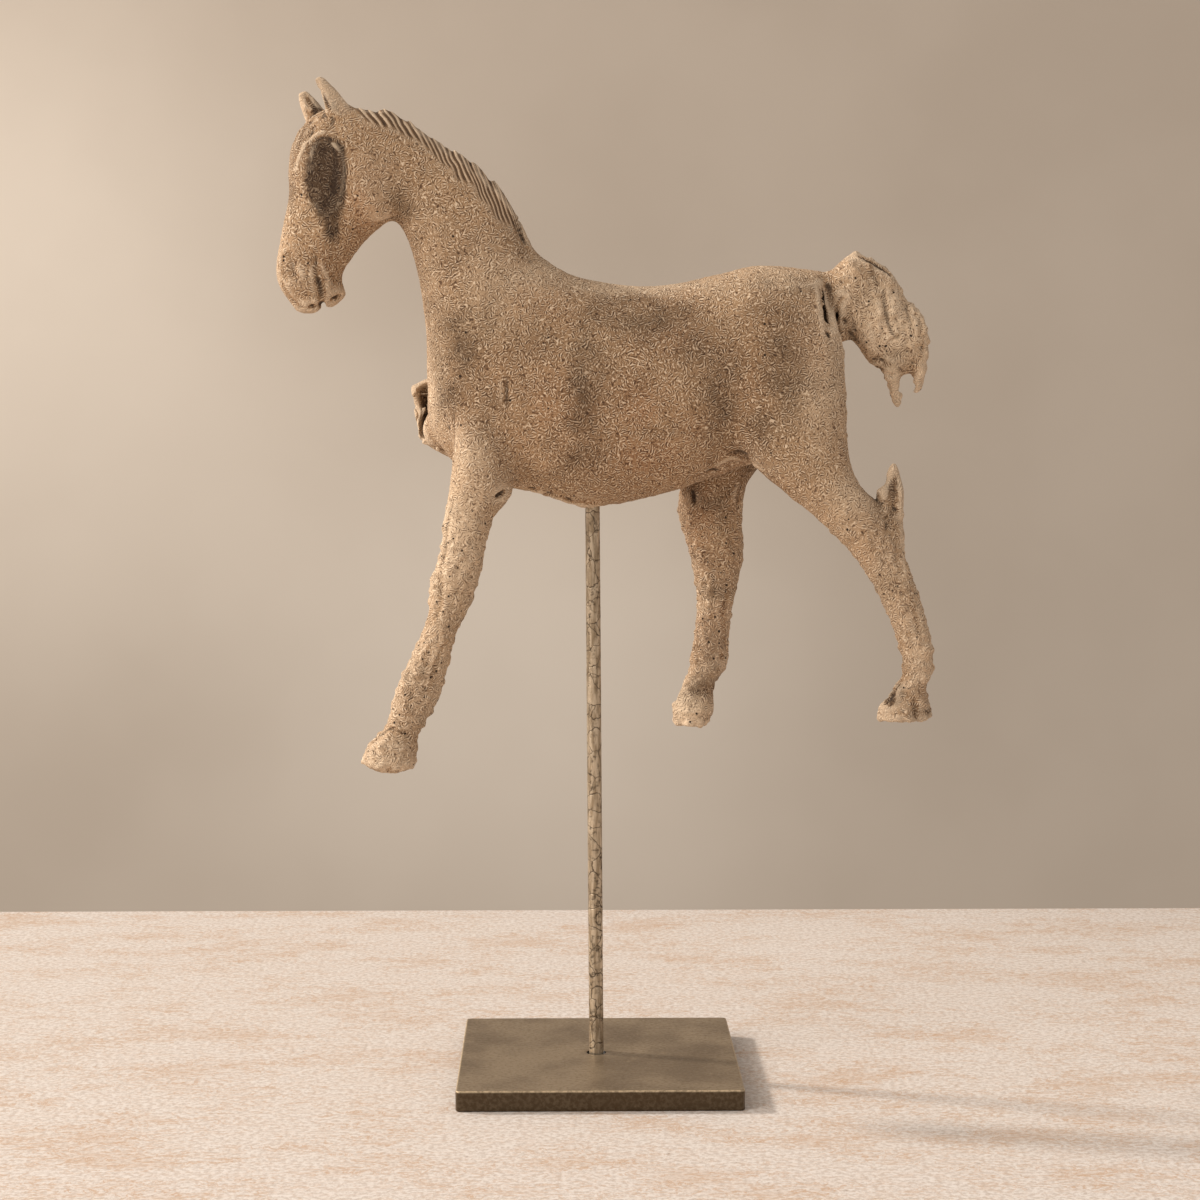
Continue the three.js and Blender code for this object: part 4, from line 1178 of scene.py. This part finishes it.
def patinatedPlate():
    # brown-black patina with a soft sheen, rubbed brighter along the edges, with painted shade on the side faces and in
    # the gap round the rod
    t = basePlate
    material, tree, shader, place = newMaterial("patinated_steel_plate")
    grain = node(tree, "ShaderNodeTexNoise", Vector=place, Scale=perMetre(t["grain"] * 2), Detail=4.0, Roughness=0.6)["Fac"]
    scratch = node(tree, "ShaderNodeTexNoise", Vector=place, Scale=perMetre(3.2), Detail=1.0, Distortion=1.2)["Fac"]
    cloud = node(tree, "ShaderNodeTexNoise", Vector=place, Scale=perMetre(t["cloud"]), Detail=3.0)["Fac"]
    colour = mixColour(tree, remap(tree, cloud, 0.35, 0.7), linear(t["metal"]), linear(t["dark"]))
    colour = mixColour(tree, remap(tree, grain, 0.5, 0.7, 0.0, 0.7), colour, linear(t["dark"]))
    colour = mixColour(tree, remap(tree, scratch, 0.6, 0.8, 0.0, 0.2), colour, linear(t["rubbed"]))
    axes = node(tree, "ShaderNodeSeparateXYZ", Vector=place)
    rim = calculate(tree, "MAXIMUM", calculate(tree, "ABSOLUTE", axes["X"]), calculate(tree, "ABSOLUTE", axes["Y"]))
    high = remap(tree, axes["Z"], (t["thickness"] - 1.6) * mm, (t["thickness"] - 0.4) * mm)
    edge = calculate(tree, "MULTIPLY", remap(tree, rim, (t["side"] / 2 - 1.4) * mm, (t["side"] / 2 - 0.4) * mm), high)
    low = calculate(tree, "SUBTRACT", 1.0, high)
    # the side faces below the top edge painted darker: painted shade
    sideShade = calculate(tree, "MULTIPLY", remap(tree, rim, (t["side"] / 2 - 1.2) * mm, (t["side"] / 2 - 0.6) * mm), low)
    colour = mixColour(tree, calculate(tree, "MULTIPLY", sideShade, remap(tree, grain, 0.4, 0.7, 1.0, 0.7)), colour,
                       linear(t["sideShade"]))
    # painted shade in the gap between the rod and the mouth of its hole
    fromRod = node(tree, "ShaderNodeVectorMath", {"operation": "DISTANCE"}, _0=node(
        tree, "ShaderNodeVectorMath", {"operation": "MULTIPLY"}, _0=place, _1=(1, 1, 0))["Vector"],
        _1=(t["holeX"] * mm, 0, 0))["Value"]
    colour = mixColour(tree, remap(tree, fromRod, (t["mouth"] + 0.6) * mm, t["mouth"] * mm), colour, linear(t["gap"]))
    worn = calculate(tree, "MULTIPLY", edge, remap(tree, grain, 0.35, 0.6, 0.2, 0.9))
    colour = mixColour(tree, worn, colour, linear(t["rubbed"]))
    height = calculate(tree, "ADD", grain, calculate(tree, "MULTIPLY", scratch, 0.5))
    bump = node(tree, "ShaderNodeBump", Height=height, Strength=0.35, Distance=0.2 * mm)["Normal"]
    tree.links.new(colour, shader.inputs["Base Color"])
    tree.links.new(bump, shader.inputs["Normal"])
    tree.links.new(remap(tree, grain, 0.3, 0.7, t["roughness"] - 0.08, t["roughness"] + 0.14), shader.inputs["Roughness"])
    shader.inputs["Metallic"].default_value = t["metallic"]
    return material


plate = meshObject("plate_patinated_steel", *modelPlate())
plate.data.materials.append(patinatedPlate())
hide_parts("base_plate")
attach(plate, "root")
print("plate made")

# ---------- table and wall ----------

stone = {
    "ground": "#cabeb4", "chalk": "#e3dbd4", "vein": "#c3a080", "pit": "#8f7157", "farEdge": 0.541,
    "drift": 60, "veinSpacing": 12, "grain": 1.8, "roughness": 0.62,
}
plaster = {
    "colour": "#c0b3a4", "light": "#e4d9cb", "depth": 2.6, "cloud": 420, "roughness": 0.95,
    "paintedLightPools": (((-0.95, 0, 0.62), 0.85, 0.6), ((-0.1, 0, -0.02), 0.8, 0.65)),      # middle, reach in m, strength
}


def paleTravertine():
    # matt cream stone: chalky crystals, rusty threads along its bedding, and small pits
    t = stone
    material, tree, shader, place = newMaterial("pale_travertine")
    bedding = node(tree, "ShaderNodeMapping", Vector=place, Scale=(0.5, 1, 1))["Vector"]
    drift = node(tree, "ShaderNodeTexNoise", Vector=bedding, Scale=perMetre(t["drift"]), Detail=5.0, Roughness=0.65)["Fac"]
    vein = node(tree, "ShaderNodeTexNoise", Vector=bedding, Scale=perMetre(t["veinSpacing"]), Detail=5.0,
                Roughness=0.68, Distortion=1.2)["Fac"]
    grain = node(tree, "ShaderNodeTexNoise", Vector=place, Scale=perMetre(t["grain"] * 2), Detail=3.0, Roughness=0.7)["Fac"]
    colour = mixColour(tree, remap(tree, grain, 0.38, 0.6), linear(t["ground"]), linear(t["chalk"]))
    colour = mixColour(tree, remap(tree, drift, 0.48, 0.68, 0.0, 0.3), colour, linear(t["vein"]))
    # a thread of rust where the noise crosses its middle value, strongest inside the drifts
    thread = remap(tree, calculate(tree, "ABSOLUTE", calculate(tree, "SUBTRACT", vein, 0.5)), 0.035, 0.0)
    thread = calculate(tree, "MULTIPLY", thread, remap(tree, drift, 0.4, 0.6, 0.25, 0.9))
    colour = mixColour(tree, thread, colour, linear(t["vein"]))
    pits = calculate(tree, "MULTIPLY", remap(tree, grain, 0.36, 0.28), remap(tree, vein, 0.5, 0.6))
    colour = mixColour(tree, calculate(tree, "MULTIPLY", pits, 0.7), colour, linear(t["pit"]))
    bump = node(tree, "ShaderNodeBump", Height=calculate(tree, "SUBTRACT", grain, pits), Strength=0.4,
                Distance=0.5 * mm)["Normal"]
    tree.links.new(colour, shader.inputs["Base Color"])
    tree.links.new(bump, shader.inputs["Normal"])
    shader.inputs["Roughness"].default_value = t["roughness"]
    return material


def limewashedPlaster():
    # chalky wall with very soft clouds, and painted pools of light: one towards the upper left, one low near the middle
    t = plaster
    material, tree, shader, place = newMaterial("limewashed_plaster")
    cloud = node(tree, "ShaderNodeTexNoise", Vector=place, Scale=perMetre(t["cloud"]), Detail=3.0)["Fac"]
    level = node(tree, "ShaderNodeVectorMath", {"operation": "MULTIPLY"}, _0=place, _1=(1, 0, 1))["Vector"]
    pale = remap(tree, cloud, 0.3, 0.7, 0.0, 0.15)
    for middle, reach, strength in t["paintedLightPools"]:
        away = node(tree, "ShaderNodeVectorMath", {"operation": "DISTANCE"}, _0=level, _1=middle)["Value"]
        pale = calculate(tree, "ADD", pale, remap(tree, away, reach, 0.1, 0.0, strength))
    colour = mixColour(tree, pale, linear(t["colour"]), linear(t["light"]))
    tree.links.new(colour, shader.inputs["Base Color"])
    shader.inputs["Roughness"].default_value = t["roughness"]
    return material


def slab(name, low, high, material):
    corners = np.array([[x, y, z] for x in (low[0], high[0]) for y in (low[1], high[1]) for z in (low[2], high[2])])
    faces = np.array([[0, 1, 3, 2], [4, 6, 7, 5], [0, 4, 5, 1], [2, 3, 7, 6], [0, 2, 6, 4], [1, 5, 7, 3]])
    piece = meshObject(name, corners / mm, faces)
    piece.data.shade_flat()
    piece.data.materials.append(material)
    return piece


slab("table_top", (-3, -3, -0.03), (3, stone["farEdge"], 0), paleTravertine())
slab("wall", (-6, plaster["depth"], -2), (6, plaster["depth"] + 0.05, 4), limewashedPlaster())
print("stage set")

# ---------- light and camera ----------

lights = {
    "key": {"from": (-0.81, 0.245, 0.53), "energy": 2.5, "colour": "#fff6ec", "angle": 5.5},
    "front": {"at": (-2.2, -1.5, 1.6), "size": 1.4, "energy": 50, "colour": "#fff7ee"},
    "wallGlow": {"at": (-1.7, 1.4, 1.0), "size": 0.9, "energy": 9, "colour": "#fff8f0"},
    "room": {"strength": 0.57, "colour": "#fcf3eb"},
}


def aim(direction):
    return Vector(direction).to_track_quat("Z", "Y").to_euler()


def addLight(name, kind, rotation, **settings):
    lamp = bpy.data.objects.new(name, bpy.data.lights.new(name, kind))
    for key, value in settings.items():
        setattr(lamp.data, key, value)
    lamp.rotation_euler = rotation
    scene.collection.objects.link(lamp)
    return lamp


key = lights["key"]
addLight("key", "SUN", aim(key["from"]), energy=key["energy"], color=linear(key["colour"])[:3],
         angle=math.radians(key["angle"]))
front = lights["front"]
addLight("front", "AREA", aim(Vector(front["at"]) - Vector((0, 0, 0.4))), energy=front["energy"], size=front["size"],
         color=linear(front["colour"])[:3]).location = front["at"]
glow = lights["wallGlow"]
addLight("wall_glow", "AREA", aim(Vector(glow["at"]) - Vector((-0.7, plaster["depth"], 0.6))), energy=glow["energy"],
         size=glow["size"], color=linear(glow["colour"])[:3]).location = glow["at"]

scene.world = bpy.data.worlds.new("room")
scene.world.use_nodes = True
background = scene.world.node_tree.nodes["Background"]
background.inputs["Color"].default_value = linear(lights["room"]["colour"])
background.inputs["Strength"].default_value = lights["room"]["strength"]
scene.view_settings.view_transform = "Standard"

cameraSetup = {"lens": 72.58, "at": (-0.0235, -1.6472, 0.4607), "downward": 4.586, "toRight": 0.857}
camera = bpy.data.objects.new("camera", bpy.data.cameras.new("camera"))
camera.data.lens = cameraSetup["lens"]
camera.location = cameraSetup["at"]
camera.rotation_euler = (math.radians(90 - cameraSetup["downward"]), 0, -math.radians(cameraSetup["toRight"]))
scene.collection.objects.link(camera)
scene.camera = camera
print("lit and framed")
